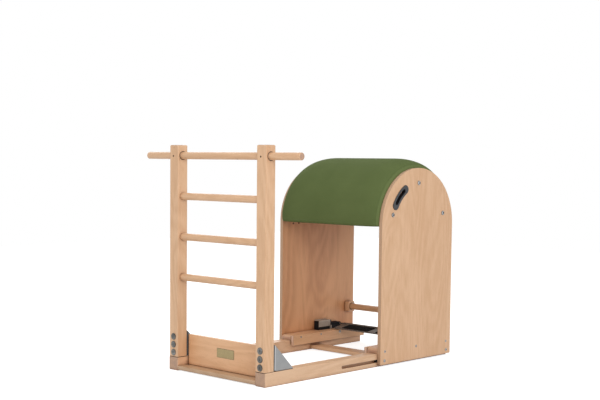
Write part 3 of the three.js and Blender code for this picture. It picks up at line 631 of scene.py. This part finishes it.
bushSettings = {
    "bush": {"inner": 16.1, "outer": 17.0, "height": 2.0, "ease": 1.2},
    "bushJoint": {"inner": 17.1, "outer": 19.6, "height": 0.3, "ease": 0.1},
}


def makeRing(name, look, place, way, s):
    # A washer: the wall of its bore takes the place of the two end caps
    inner, outer, height, ease = (s[key] for key in ("inner", "outer", "height", "ease"))
    rings = [(0, inner), (0, outer), (height - ease, outer), (height, outer - ease), (height, inner)]
    mesh = turnedMesh(rings, 64)
    with editing(mesh) as work:
        bmesh.ops.delete(work, geom=[f for f in work.faces if len(f.verts) > 4], context="FACES_ONLY")
        bmesh.ops.bridge_loops(work, edges=[e for e in work.edges if e.is_boundary])
        bmesh.ops.recalc_face_normals(work, faces=work.faces)
    giveObject(name, facing(mesh, place, (0, way, 0)), look, "base")


def makeBushes(s):
    timber = timberFor("top_bar")
    barLow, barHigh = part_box("top_bar")
    middle = (barLow + barHigh) / 2
    for side in sides:
        low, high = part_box("post_" + side)
        for face, y, way in (("Right", low.y, -1), ("Left", high.y, 1)):
            for kind, look in (("bush", timber), ("bushJoint", "gap")):
                name = "%s_%sPost%s" % (kind, side, face)
                makeRing(name, look, (middle.x, y, middle.z), way, s[kind])


makeBushes(bushSettings)
print("turned timber made")


# Side panels and the bent shell under the pad

panelSettings = {"cornerMm": 4, "edgeMm": 1.0, "headSteps": 96}
handleSettings = {
    "radiusMm": 195, "fromDeg": 121.5, "toDeg": 151.5, "insetDeg": 4, "screwAtDeg": (119.9, 153.1),
    "flangeHalfMm": 20.5, "sleeveHalfMm": 15, "holeHalfMm": 9.5, "flangeMm": 2.8, "seatMm": 0.3,
    "rimEdgeMm": 1.1, "sleeveEdgeMm": 0.6,
}
shellSettings = {"thickMm": 12, "steps": 96, "edgeMm": 0.6}
panelBox = {side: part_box("side_panel_" + side) for side in sides}
panelRadius = (panelBox["left"][1].x - panelBox["left"][0].x) / 2
barrelAxis = Vector((panelBox["left"][0].x + panelRadius, 0, panelBox["left"][1].z - panelRadius))
axisPoint = (barrelAxis.x, barrelAxis.z)


def slotOutline(s, halfMm, inset=0):
    # Bent slot with round ends, round the barrel's axis
    radius, half = s["radiusMm"] * mm, halfMm * mm
    start, end = s["fromDeg"] + inset, s["toDeg"] - inset
    outline = arcPoints(axisPoint, radius + half, start, end, 24)
    outline += arcPoints(pointAt(axisPoint, radius, end), half, end, end + 180, 12)[1:-1]
    outline += arcPoints(axisPoint, radius - half, end, start, 24)
    return outline + arcPoints(pointAt(axisPoint, radius, start), half, start + 180, start + 360, 12)[1:-1]


def makePanels(s, handle):
    corner, flange, seat = s["cornerMm"] * mm, handle["flangeMm"] * mm, handle["seatMm"] * mm
    for side, sign in sides.items():
        low, high = panelBox[side]
        outline = arcPoints(axisPoint, panelRadius, 0, 180, s["headSteps"])
        outline += arcPoints((low.x + corner, low.z + corner), corner, 180, 270, 5)
        outline += arcPoints((high.x - corner, low.z + corner), corner, 270, 360, 5)
        hole = slotOutline(handle, handle["sleeveHalfMm"] + handle["seatMm"])
        mesh = setInPlace(slabMesh([outline, hole], high.y - low.y), (0, high.y, 0))
        node = "side_panel_" + side
        giveObject("panel_" + side, mesh, timberFor(node), "barrel", [node], s["edgeMm"])

        # Lining of the hand hole: a sleeve with a flange on the outer face
        slot = slotOutline(handle, handle["holeHalfMm"], handle["insetDeg"])
        mesh = slabMesh([slotOutline(handle, handle["flangeHalfMm"]), slot], flange)
        setInPlace(mesh, (0, (high.y + flange if sign > 0 else low.y) + sign * seat, 0))
        node, slotName = "handle_insert_" + side, "black_plastic"
        giveObject("handleRim_" + side, mesh, "lining", "barrel", [node], handle["rimEdgeMm"])
        mesh = slabMesh([slotOutline(handle, handle["sleeveHalfMm"]), slot], high.y - low.y)
        setInPlace(mesh, (0, high.y + sign * seat, 0))
        giveObject("handleSleeve_" + side, mesh, slotName, "barrel", [], handle["sleeveEdgeMm"])


def makeShell(s):
    low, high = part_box("barrel_shell")
    outer = (high.x - low.x) / 2
    inner = outer - s["thickMm"] * mm
    x = barrelAxis.x
    outline = arcPoints(axisPoint, outer, 0, 180, s["steps"]) + [(x - outer, low.z), (x - inner, low.z)]
    outline += arcPoints(axisPoint, inner, 180, 0, s["steps"]) + [(x + inner, low.z), (x + outer, low.z)]
    mesh = setInPlace(slabMesh([outline], high.y - low.y), (0, high.y, 0))
    node = "barrel_shell"
    giveObject("bentShell", mesh, timberFor(node), "barrel", [node], s["edgeMm"])


makePanels(panelSettings, handleSettings)
makeShell(shellSettings)
print("panels, linings and shell made")


# Bolts: the head's rings from the seat up, on its own shank, with what shows behind

def postBoltRings(back):
    # Large flat head, and a nut behind; the shank's end is at the back
    nut = 3 - back
    rings = [(-back, 4), (nut, 4), (nut, 6.2, "hex"), (nut + 6.5, 6.5, "hex"), (nut + 6.5, 4)]
    rings += [(0, 4), (0, 14.6), (1.2, 15), (2.2, 14.6), (3, 12.5), (3.1, 6.2)]
    return rings + [(3.1, 5.2, "cross"), (1.4, 4.2, "cross")]


def buttonRings(size, reach, shank):
    # Domed head with a six-sided socket, on a thin seat painted as a dark contact shadow
    rings = [(-reach, shank / 2), (0, shank / 2), (0, size / 2 + 0.9), (0.15, size / 2 + 0.8)]
    rings.append((0.16, size * 0.48))
    dome = ((0.04, 0.49), (0.12, 0.46), (0.19, 0.36), (0.225, 0.27), (0.23, 0.23))
    rings += [(size * height, size * wide) for height, wide in dome]
    return rings + [(size * 0.225, size * 0.21, "hex"), (size * 0.04, size * 0.2, "hex")]


def screwRings(size):
    # Raised countersunk head with a cross recess, on a thin seat that under a zinc head is painted as a dark
    # contact shadow
    rings = [(-0.2, size * 0.3), (0.02, size / 2 + 0.7), (0.15, size / 2 + 0.6), (0.16, size * 0.48)]
    rings += [(size * 0.06, size * 0.47), (size * 0.13, size * 0.36)]
    return rings + [(size * 0.14, size * 0.33, "cross"), (-size * 0.04, size * 0.26, "cross")]


def fasten(name, rings, place, outward, finish, body, replaced=(), facets=48):
    # The outer ring near the face is the seat: under a zinc head it takes painted shade, a dark contact
    # shadow round the head
    mesh = turnedMesh(rings, facets)
    rim = 0.8 * max(ring[1] for ring in rings) * mm
    seat = {p.index for p in mesh.polygons if abs(p.center.z) < 0.155 * mm and p.center.xy.length > rim}
    piece = giveObject(name, facing(mesh, place, outward), finish, body, replaced)
    piece.data.materials.append(finishMaterials["gap"])
    for polygon in piece.data.polygons:
        polygon.material_index = 1 if polygon.index in seat and finish == "zinc" else 0


boltSettings = {
    "ring": {"headMm": 20, "shankMm": 8},
    "slide": {"headMm": 13, "shankMm": 6},
    "headShare": 0.225,  # a head's height by its width
    "seatMm": 0.3,
}


def makeBolts(s):
    for node in sorted(nodes):
        low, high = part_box(node)
        middle = (low + high) / 2
        side = node.split("_")[-1]
        if node.startswith("post_bolt"):
            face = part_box("post_" + side)[0].x
            rings = postBoltRings((high.x - face) / mm)
            place = (face - s["seatMm"] * mm, middle.y, middle.z)
            fasten(node + "_bolt", rings, place, (-1, 0, 0), "discs", "base", [node])
        for kind in ("ring", "slide"):
            if node.startswith(kind + "_bolt"):
                sign, head = sides[side], s[kind]["headMm"]
                rings = buttonRings(head, (high.y - low.y) / mm - head * s["headShare"], s[kind]["shankMm"])
                place = (middle.x, faceY(panelBox[side], sign) + sign * s["seatMm"] * mm, middle.z)
                fasten(node + "_bolt", rings, place, (0, sign, 0), "zinc", "barrel", [node])


makeBolts(boltSettings)


# Small fasteners, placed from the edges of what they hold: millimetres along and up

screwSettings = {
    # The bar pins take the painted-shade finish: dark, as holes lying in shade
    "barPin": {"size": 6.5, "finish": "gap", "across": 5, "below": 2},
    "barScrew": {"size": 5, "finish": "dark_steel", "at": (-9, -112, 3.2), "way": (-0.6, 0, -0.8)},
    "runner": {"sizes": (11.5,) * 3, "finish": "zinc", "along": (34, 265, 499), "up": 61},
    "keeper": {"sizes": (9, 9, 13), "finish": "zinc", "along": (55, 201, 342), "up": 38},
    "handle": {"sizes": (6, 6), "finish": "dark_steel"},
    "block": {"sizes": (7, 7), "finish": "zinc", "at": ((0, 13), (12, 42))},
    # The inner screws take painted shade: dark brown heads for the shade the screws cast on the panel
    "inner": {"sizes": (9, 9), "finish": "recess", "x": (148.9, 188.9), "z": 631},
}


def screwRow(kind, side, y, way, places, s):
    # Places are (x, z) in metres, on the face at y
    for k, ((x, z), size) in enumerate(zip(places, s["sizes"])):
        name = "%sScrew_%s_%d" % (kind, side, k)
        fasten(name, screwRings(size), (x, y, z), (0, way, 0), s["finish"], "barrel")


def rowAlong(box, s):
    return [(box[0].x + along * mm, box[0].z + s["up"] * mm) for along in s["along"]]


def makeScrews(s, handle):
    barLow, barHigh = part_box("top_bar")
    bar = (barLow + barHigh) / 2
    pin, screw = s["barPin"], s["barScrew"]
    for side, sign in sides.items():
        low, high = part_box("post_" + side)
        place = (low.x, (low.y + high.y) / 2 + pin["across"] * mm, bar.z - pin["below"] * mm)
        fasten("barPin_" + side, screwRings(pin["size"]), place, (-1, 0, 0), pin["finish"], "base")

        outer, inner = faceY(panelBox[side], sign), faceY(panelBox[side], -sign)
        screwRow("runner", side, outer, sign, rowAlong(panelBox[side], s["runner"]), s["runner"])
        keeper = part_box("keeper_" + side)
        screwRow("keeper", side, faceY(keeper, -sign), -sign, rowAlong(keeper, s["keeper"]), s["keeper"])
        rim = outer + sign * (handle["flangeMm"] + handle["seatMm"]) * mm
        places = [pointAt(axisPoint, handle["radiusMm"] * mm, turn) for turn in handle["screwAtDeg"]]
        screwRow("handle", side, rim, sign, places, s["handle"])
        places = [(x * mm, s["inner"]["z"] * mm) for x in s["inner"]["x"]]
        screwRow("inner", side, inner, -sign, places, s["inner"])
        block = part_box("dowel_block_" + side)
        places = [((block[0].x + block[1].x) / 2 + x * mm, block[0].z + z * mm) for x, z in s["block"]["at"]]
        screwRow("block", side, faceY(block, -sign), -sign, places, s["block"])

    under = Vector((bar.x, 0, barLow.z)) + Vector(screw["at"]) * mm
    fasten("barScrew", screwRings(screw["size"]), under, screw["way"], screw["finish"], "base")


makeScrews(screwSettings, handleSettings)


# Bare brass plate on the kick board

plateSettings = {
    "halfWideMm": 54, "lowMm": 19, "highMm": 58, "thickMm": 1.2, "cornerMm": 2.5,
    "edgeMm": 0.3, "pinMm": 3.2, "pinFromEndMm": 5,
}


def plateOutline(s, overMm, cornerMm):
    foot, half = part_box("post_left")[0].z, (s["halfWideMm"] + overMm) * mm
    bottom, top = foot + (s["lowMm"] - overMm) * mm, foot + (s["highMm"] + overMm) * mm
    return roundedBox((-half, bottom), (half, top), cornerMm * mm)


def makePlate(s):
    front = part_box("kick_board")[0].x
    mesh = slabMesh([plateOutline(s, 0, s["cornerMm"])], s["thickMm"] * mm)
    setInPlace(mesh, (front, 0, 0), (0, -1, 0))
    giveObject("namePlateBare", mesh, "brass", "base", [], s["edgeMm"])
    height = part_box("post_left")[0].z + (s["lowMm"] + s["highMm"]) / 2 * mm
    rings = [(-0.1, s["pinMm"] / 2), (0.3, s["pinMm"] / 2), (0.6, s["pinMm"] / 3)]
    for k, sign in enumerate((-1, 1)):
        place = (front - s["thickMm"] * mm, sign * (s["halfWideMm"] - s["pinFromEndMm"]) * mm, height)
        fasten("platePin_%d" % k, rings, place, (-1, 0, 0), "brass", "base", facets=24)


makePlate(plateSettings)


# Painted shade: dark strips put where shade shows as lines: under the posts, behind the plate, and on the
# keepers' front ends

shadeLineSettings = {
    "post": {"insetMm": 0.2, "highMm": 3.4, "cornerMm": 2},
    "plate": {"overMm": 0.9, "thickMm": 0.4, "cornerMm": 3},
    "keeperJoint": {"acrossMm": (-0.5, 2.2), "shortMm": (1, 1), "thickMm": 0.5, "cornerMm": 1.5},
    "keeperLine": {"acrossMm": (0.6, 1.5), "shortMm": (3, 2), "thickMm": 0.4, "cornerMm": 0.3},
}


def endStrip(name, x, y, sign, box, s):
    # Thin strip of painted shade on an end that looks to the front, beside y, over most of the box's height
    left, right = sorted(-(y + sign * step * mm) for step in s["acrossMm"])
    bottom, top = box[0].z + s["shortMm"][0] * mm, box[1].z - s["shortMm"][1] * mm
    outline = roundedBox((left, bottom), (right, top), s["cornerMm"] * mm)
    mesh = slabMesh([outline], s["thickMm"] * mm)
    giveObject(name, setInPlace(mesh, (x, 0, 0), (0, -1, 0)), "recess", "barrel")


def makeShadeLines(s):
    for side, sign in sides.items():
        low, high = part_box("post_" + side)
        inset, tall = s["post"]["insetMm"] * mm, s["post"]["highMm"] * mm
        corners = (low.x + inset, low.y + inset), (high.x - inset, high.y - inset)
        mesh = slabMesh([roundedBox(*corners, s["post"]["cornerMm"] * mm)], tall)
        mesh.transform(Matrix.Translation((0, 0, low.z - tall / 2)))
        giveObject("postJoint_" + side, mesh, "gap", "base")

        # Beside the runner, and down the inner corner
        keeper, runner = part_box("keeper_" + side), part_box("runner_" + side)
        start = keeper[0].x
        endStrip("keeperJoint_" + side, start, faceY(keeper, sign), sign, runner, s["keeperJoint"])
        endStrip("keeperLine_" + side, start, faceY(keeper, -sign), sign, keeper, s["keeperLine"])

    outline = plateOutline(plateSettings, s["plate"]["overMm"], s["plate"]["cornerMm"])
    mesh = slabMesh([outline], s["plate"]["thickMm"] * mm)
    setInPlace(mesh, (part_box("kick_board")[0].x, 0, 0), (0, -1, 0))
    giveObject("plateJoint", mesh, "gap", "base")


makeShadeLines(shadeLineSettings)
print("bolts, screws, plate and joints made")


# Brake and steel fittings: the frame's shapes with softened edges

softened = {
    "slide_strip": 0.8, "brake_housing": 1.4, "housing_strap": 0.5, "lift_bar": 0.6,
    "brake_plunger": 0.5, "brake_foot": 0.8,
}
ownFinish = {"housing_strap": "strap", "lift_bar": "lift_steel"}


def dressNode(node, easeMm):
    mesh = nodes[node].data.copy()
    with editing(mesh) as work:
        bmesh.ops.remove_doubles(work, verts=work.verts, dist=weld)
        bmesh.ops.dissolve_limit(work, angle_limit=radians(0.5), verts=work.verts, edges=work.edges)
    finish = next((value for key, value in ownFinish.items() if node.startswith(key)), slotOf[node])
    giveObject(node + "_dressed", mesh, finish, bodyOf[node], [node], easeMm)


for node in sorted(nodes):
    ease = next((value for key, value in softened.items() if node.startswith(key)), None)
    if ease:
        dressNode(node, ease)


# Corner plates, folded from sheet: the web at the right, a flange on the post and a foot on the rail

plateFold = {"sheetMm": 3, "bendMm": 12, "footBendMm": 5, "steps": 6, "edgeMm": 0.4}


def foldOutline(first, second, bend, s):
    # Angle with its heel at the origin, from millimetres to metres
    outer = arcPoints((bend, bend), bend, 180, 270, s["steps"])
    inner = arcPoints((bend, bend), bend - s["sheetMm"], 270, 180, s["steps"])
    end = [(s["sheetMm"], second), (0, second)] if second > bend else []
    outline = outer + [(first, 0), (first, s["sheetMm"])] + inner + end
    return [(x * mm, y * mm) for x, y in outline]


def makeCornerPlate(side, s):
    node = "corner_plate_" + side
    low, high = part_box(node)
    reach, deep, rise = (high - low) / mm
    foot = s["footBendMm"]
    mesh = slabMesh([foldOutline(reach, deep, s["bendMm"], s)], (rise - foot) * mm)
    mesh.transform(Matrix.Translation(low + Vector((0, 0, foot * mm))))
    start = low + Vector((reach, 0, s["sheetMm"])) * mm
    slope = Vector((rise - s["sheetMm"], 0, reach - s["sheetMm"])).normalized()
    with editing(mesh) as work:
        everything = work.verts[:] + work.edges[:] + work.faces[:]
        bmesh.ops.bisect_plane(work, geom=everything, plane_co=start, plane_no=slope, clear_outer=True)
        bmesh.ops.holes_fill(work, edges=[e for e in work.edges if e.is_boundary], sides=0)
        bmesh.ops.recalc_face_normals(work, faces=work.faces)
    # The left plate takes the painted-shade copy of the steel
    finish = "grey_steel" if side == "right" else "shaded_steel"
    giveObject("cornerWeb_" + side, mesh, finish, "base", [node], s["edgeMm"])
    mesh = slabMesh([foldOutline(deep, 0, foot, s)], (reach - s["bendMm"]) * mm)
    setInPlace(mesh, low + Vector((s["bendMm"] * mm, 0, 0)), (0, 1, 0))
    giveObject("cornerFoot_" + side, mesh, "grey_steel", "base", [], s["edgeMm"])


for side in sides:
    makeCornerPlate(side, plateFold)


# Brake springs: wound wire

springSettings = {"wireMm": 1.5, "outerMm": 17, "turns": 3.5, "stepsPerTurn": 32, "pressed": 0.35}


def makeSpring(side, s):
    node = "brake_spring_" + side
    low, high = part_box(node)
    middle = (low + high) / 2
    wire = s["wireMm"] * mm
    radius = (s["outerMm"] - s["wireMm"]) / 2 * mm
    count = int(s["turns"] * s["stepsPerTurn"])
    mesh = bpy.data.meshes.new("spring")
    around = [pi / 4 * k for k in range(8)]
    with editing(mesh) as work:
        loops = []
        for k in range(count + 1):
            turn = 2 * pi * k / s["stepsPerTurn"]
            height = low.z + wire / 2 + (high.z - low.z - wire) * k / count
            out = Vector((cos(turn), sin(turn), 0))
            centre = Vector((middle.x, middle.y, height)) + out * radius
            ring = [out * cos(t) + Vector((0, 0, sin(t))) for t in around]
            loops.append([work.verts.new(centre + step * wire / 2) for step in ring])
        skin(work, loops)
        bmesh.ops.recalc_face_normals(work, faces=work.faces)
    piece = giveObject("spring_" + side, mesh, "zinc", "barrel", [node], 0, 60)
    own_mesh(piece)


for side in sides:
    makeSpring(side, springSettings)


# Ribbed grips on the lift bar's plate

gripSettings = {
    "tiltDeg": 9, "deepMm": 64, "thickMm": 3, "ribs": 13, "baseMm": 0.5, "ribTopMm": 1.5, "edgeMm": 0.25,
}


def makeGrip(side, s):
    node = "grip_strip_" + side
    low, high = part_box(node)
    middle = (low + high) / 2
    half, pitch = s["deepMm"] / 2 - 1, (s["deepMm"] - 2) / s["ribs"]
    base, top = s["baseMm"], s["ribTopMm"]
    outline = [(-half, -s["thickMm"] / 2), (half, -s["thickMm"] / 2)]
    for k in range(s["ribs"]):
        for share, height in ((0, base), (0.15, top), (0.65, top), (0.8, base)):
            outline.append((half - (k + share) * pitch, height))
    outline.append((-half, base))
    mesh = slabMesh([[(x * mm, z * mm) for x, z in outline]], high.y - low.y)
    tilt = radians(s["tiltDeg"])
    right, up = (cos(tilt), 0, sin(tilt)), (-sin(tilt), 0, cos(tilt))
    setInPlace(mesh, Vector((middle.x, high.y, middle.z)), right, up)
    giveObject("grip_" + side, mesh, "black_rubber", "lift_bar", [node], s["edgeMm"])


for side in sides:
    makeGrip(side, gripSettings)
print("brake made")


# The pad: foam under vinyl, blown up a little by the cloth solver

padShape = {
    "crownMm": 310,  # radius at the middle of its width, before it swells
    "edgeMm": 267.5,  # radius beside a panel
    "edgeRunMm": 124,
    "innerMm": 227.6,
    "hemMm": 3,
    "hemRoundMm": 9,
    "voxelMm": 5,
    "pressure": 4.0,
    "heldMm": 4,  # beside a panel and at a hem
    "heldDeepMm": 10,  # over the shell
    "capMm": 4,
    "frames": 20,
}
beadSettings = {
    "wireMm": 3, "sunkShare": 0.15, "aboveHemMm": 15, "fromEndMm": 5, "fromPanelMm": 8, "sideFromDeg": 4,
    "rayFrom": 0.5,  # metres from the barrel's axis, outside the pad
}


def padFace(s, y):
    run = s["edgeRunMm"] * mm
    into = max(0.0, abs(y) - (padHalf - run)) / run
    return (s["edgeMm"] + (s["crownMm"] - s["edgeMm"]) * sqrt(max(0.0, 1 - into * into))) * mm


def padMesh(s):
    # Sections across the width, from one hem over the top to the other; a hem turns in on a small round
    across = [padHalf * sin(pi / 2 * k / 24) for k in range(-24, 25)]
    foot = padLow.z - barrelAxis.z
    lower = s["hemRoundMm"] * mm
    turns = [pi / 2 * k / 6 for k in range(6, 0, -1)]
    hems = [(foot + lower * (1 - sin(t)), s["hemMm"] * mm + lower * (1 - cos(t))) for t in turns]
    stations = [(pi, height, inset) for height, inset in hems]
    stations += [(pi * (1 - k / 96), 0, 0) for k in range(4, 93)]
    stations += [(0.0, height, inset) for height, inset in reversed(hems)]
    mesh = bpy.data.meshes.new("pad")
    with editing(mesh) as work:
        loops = []
        for angle, height, inset in stations:
            arm = Vector((cos(angle), 0, sin(angle)))
            base = barrelAxis + Vector((0, 0, height))
            back = base + arm * s["innerMm"] * mm
            section = [base + arm * (padFace(s, y) - inset) + Vector((0, y, 0)) for y in across]
            section += [back + Vector((0, y, 0)) for y in reversed(across[::4])]
            loops.append([work.verts.new(point) for point in section])
        for first, second in zip(loops, loops[1:]):
            for k in range(len(first)):
                after = (k + 1) % len(first)
                work.faces.new((first[k], second[k], second[after], first[after]))
        work.faces.new(loops[0])
        work.faces.new(reversed(loops[-1]))
        bmesh.ops.triangulate(work, faces=[f for f in work.faces if len(f.verts) > 4])
        bmesh.ops.recalc_face_normals(work, faces=work.faces)
    return mesh


def applyNow(piece, name, kind, **settings):
    addModifier(piece, name, kind, **settings)
    bpy.context.view_layer.objects.active = piece
    bpy.ops.object.modifier_apply(modifier=name)


def inflatePad(piece, s):
    # Held on the shell, at the panels and along the hems: only the face swells
    start = [v.co.copy() for v in piece.data.vertices]
    held = piece.vertex_groups.new(name="held")
    margin = s["heldMm"] * mm
    for v in piece.data.vertices:
        reach = Vector((v.co.x - barrelAxis.x, v.co.z - barrelAxis.z)).length
        atEdge = abs(v.co.y) > padHalf - margin or v.co.z < barrelAxis.z + margin
        if atEdge or reach < (s["innerMm"] + s["heldDeepMm"]) * mm:
            held.add([v.index], 1.0, "REPLACE")
    cloth = piece.modifiers.new("cloth", "CLOTH")
    cloth.settings.use_pressure = True
    cloth.settings.uniform_pressure_force = s["pressure"]
    cloth.settings.effector_weights.gravity = 0
    cloth.settings.vertex_group_mass = "held"
    cloth.settings.quality = 5
    cloth.settings.bending_stiffness = 4
    cloth.point_cache.frame_start = 1
    cloth.point_cache.frame_end = s["frames"]
    for number in range(1, s["frames"] + 1):
        bpy.context.scene.frame_set(number)
    evaluated = piece.evaluated_get(bpy.context.evaluated_depsgraph_get()).to_mesh()
    moved = [v.co.copy() for v in evaluated.vertices]
    piece.modifiers.remove(cloth)
    bpy.context.scene.frame_set(1)
    for v, a, b in zip(piece.data.vertices, start, moved):
        step = b - a
        if step.length > s["capMm"] * mm:
            step = step.normalized() * s["capMm"] * mm
        v.co = a + step


def makePad(s):
    piece = giveObject("pad", padMesh(s), vinyl, "barrel")
    applyNow(piece, "remesh", "REMESH", mode="VOXEL", voxel_size=s["voxelMm"] * mm)
    inflatePad(piece, s)
    applyNow(piece, "soften", "CORRECTIVE_SMOOTH", iterations=6, factor=0.5, use_only_smooth=True)
    applyNow(piece, "finer", "SUBSURF", levels=1, render_levels=1)
    for polygon in piece.data.polygons:
        polygon.use_smooth = True
    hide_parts("barrel_pad")
    return piece


pad = makePad(padShape)


def makeBead(name, rays, s):
    # Sewn line: a thin bead sunk a little in the pad's face along the points that the rays meet
    tree = BVHTree.FromObject(pad, bpy.context.evaluated_depsgraph_get())
    wire = s["wireMm"] * mm
    points = []
    for origin, way in rays:
        hit, normal = tree.ray_cast(origin, way)[:2]
        if hit:
            points.append(hit - normal * wire * s["sunkShare"])
    bead = {"dimensions": "3D", "bevel_depth": wire / 2, "bevel_resolution": 3, "use_fill_caps": True}
    giveObject(name, curveMesh(bead, [points], False), seamHighlightVinyl, "barrel", [], 0, 60)


def makeBeads(s):
    for name, way in (("front", -1), ("rear", 1)):
        height = padLow.z + s["aboveHemMm"] * mm
        ys = [(-1 + 2 * k / 60) * (padHalf - s["fromEndMm"] * mm) for k in range(61)]
        start = barrelAxis.x + way * s["rayFrom"]
        rays = [(Vector((start, y, height)), Vector((-way, 0, 0))) for y in ys]
        makeBead("padHemBead_" + name, rays, s)
    for side, sign in sides.items():
        y = sign * (padHalf - s["fromPanelMm"] * mm)
        turns = [radians(s["sideFromDeg"] + (180 - 2 * s["sideFromDeg"]) * k / 120) for k in range(121)]
        arms = [Vector((cos(t), 0, sin(t))) for t in turns]
        rays = [(Vector((barrelAxis.x, y, barrelAxis.z)) + arm * s["rayFrom"], -arm) for arm in arms]
        makeBead("padSideBead_" + side, rays, s)


makeBeads(beadSettings)
print("pad made")


# Floor, world and lamps

stageSettings = {
    "floorSize": 14,
    "floorColour": (0.7, 0.7, 0.7),
    "floorShine": 0.72,  # how much plain white the camera sees on top of the lit floor
    "worldStrength": 0.58,
    "lamps": {
        "front": {"place": (-4.4, 0.4, 1.9), "size": 2.6, "watts": 17},
        "key": {"place": (-3.2, -3.8, 2.6), "size": 2.6, "watts": 98},
        "side": {"place": (1.6, -4.4, 2.0), "size": 2.6, "watts": 23},
        "top": {"place": (0.0, 0.0, 4.0), "size": 3.2, "watts": 24},
        "back": {"place": (2.2, 3.5, 2.6), "size": 2.6, "watts": 40},
    },
}


def seenRays(tree):
    rays = addNode(tree, "LightPath")
    seen = calc(tree, "MAXIMUM", rays.outputs["Is Camera Ray"], rays.outputs["Is Glossy Ray"])
    return calc(tree, "MAXIMUM", seen, rays.outputs["Is Transmission Ray"])


def makeStage(s):
    size = s["floorSize"] / 2
    mesh = bpy.data.meshes.new("floor")
    corners = [(-size, -size, 0), (size, -size, 0), (size, size, 0), (-size, size, 0)]
    mesh.from_pydata(corners, [], [(0, 1, 2, 3)])
    floor = newObject("floor", mesh)
    floor.location.z = -0.5 * mm
    material, tree, shader = startMaterial("floor")
    tree.nodes.remove(shader)
    matte = addNode(tree, "BsdfDiffuse", None, {"Color": s["floorColour"]})
    shine = calc(tree, "MULTIPLY", seenRays(tree), s["floorShine"])
    white = addNode(tree, "Emission", None, {"Color": (1, 1, 1), "Strength": shine})
    mixed = addNode(tree, "AddShader", None, [matte.outputs[0], white.outputs[0]])
    tree.links.new(mixed.outputs[0], tree.nodes["Material Output"].inputs["Surface"])
    mesh.materials.append(material)

    world = bpy.data.worlds.new("studio")
    bpy.context.scene.world = world
    world.use_nodes = True
    tree = world.node_tree
    background = tree.nodes["Background"]
    background.inputs["Color"].default_value = (1, 1, 1, 1)
    reach = {"Value": seenRays(tree), "To Min": s["worldStrength"], "To Max": 1.0}
    feed(tree, background.inputs["Strength"], addNode(tree, "MapRange", None, reach).outputs[0])

    for name, lamp in s["lamps"].items():
        data = bpy.data.lights.new(name, "AREA")
        data.size = lamp["size"]
        data.energy = lamp["watts"]
        light = newObject(name, data)
        light.location = lamp["place"]
        aim = Vector((0, 0, 0.5)) - light.location
        light.rotation_euler = aim.to_track_quat("-Z", "Y").to_euler()


makeStage(stageSettings)
print("stage lit")
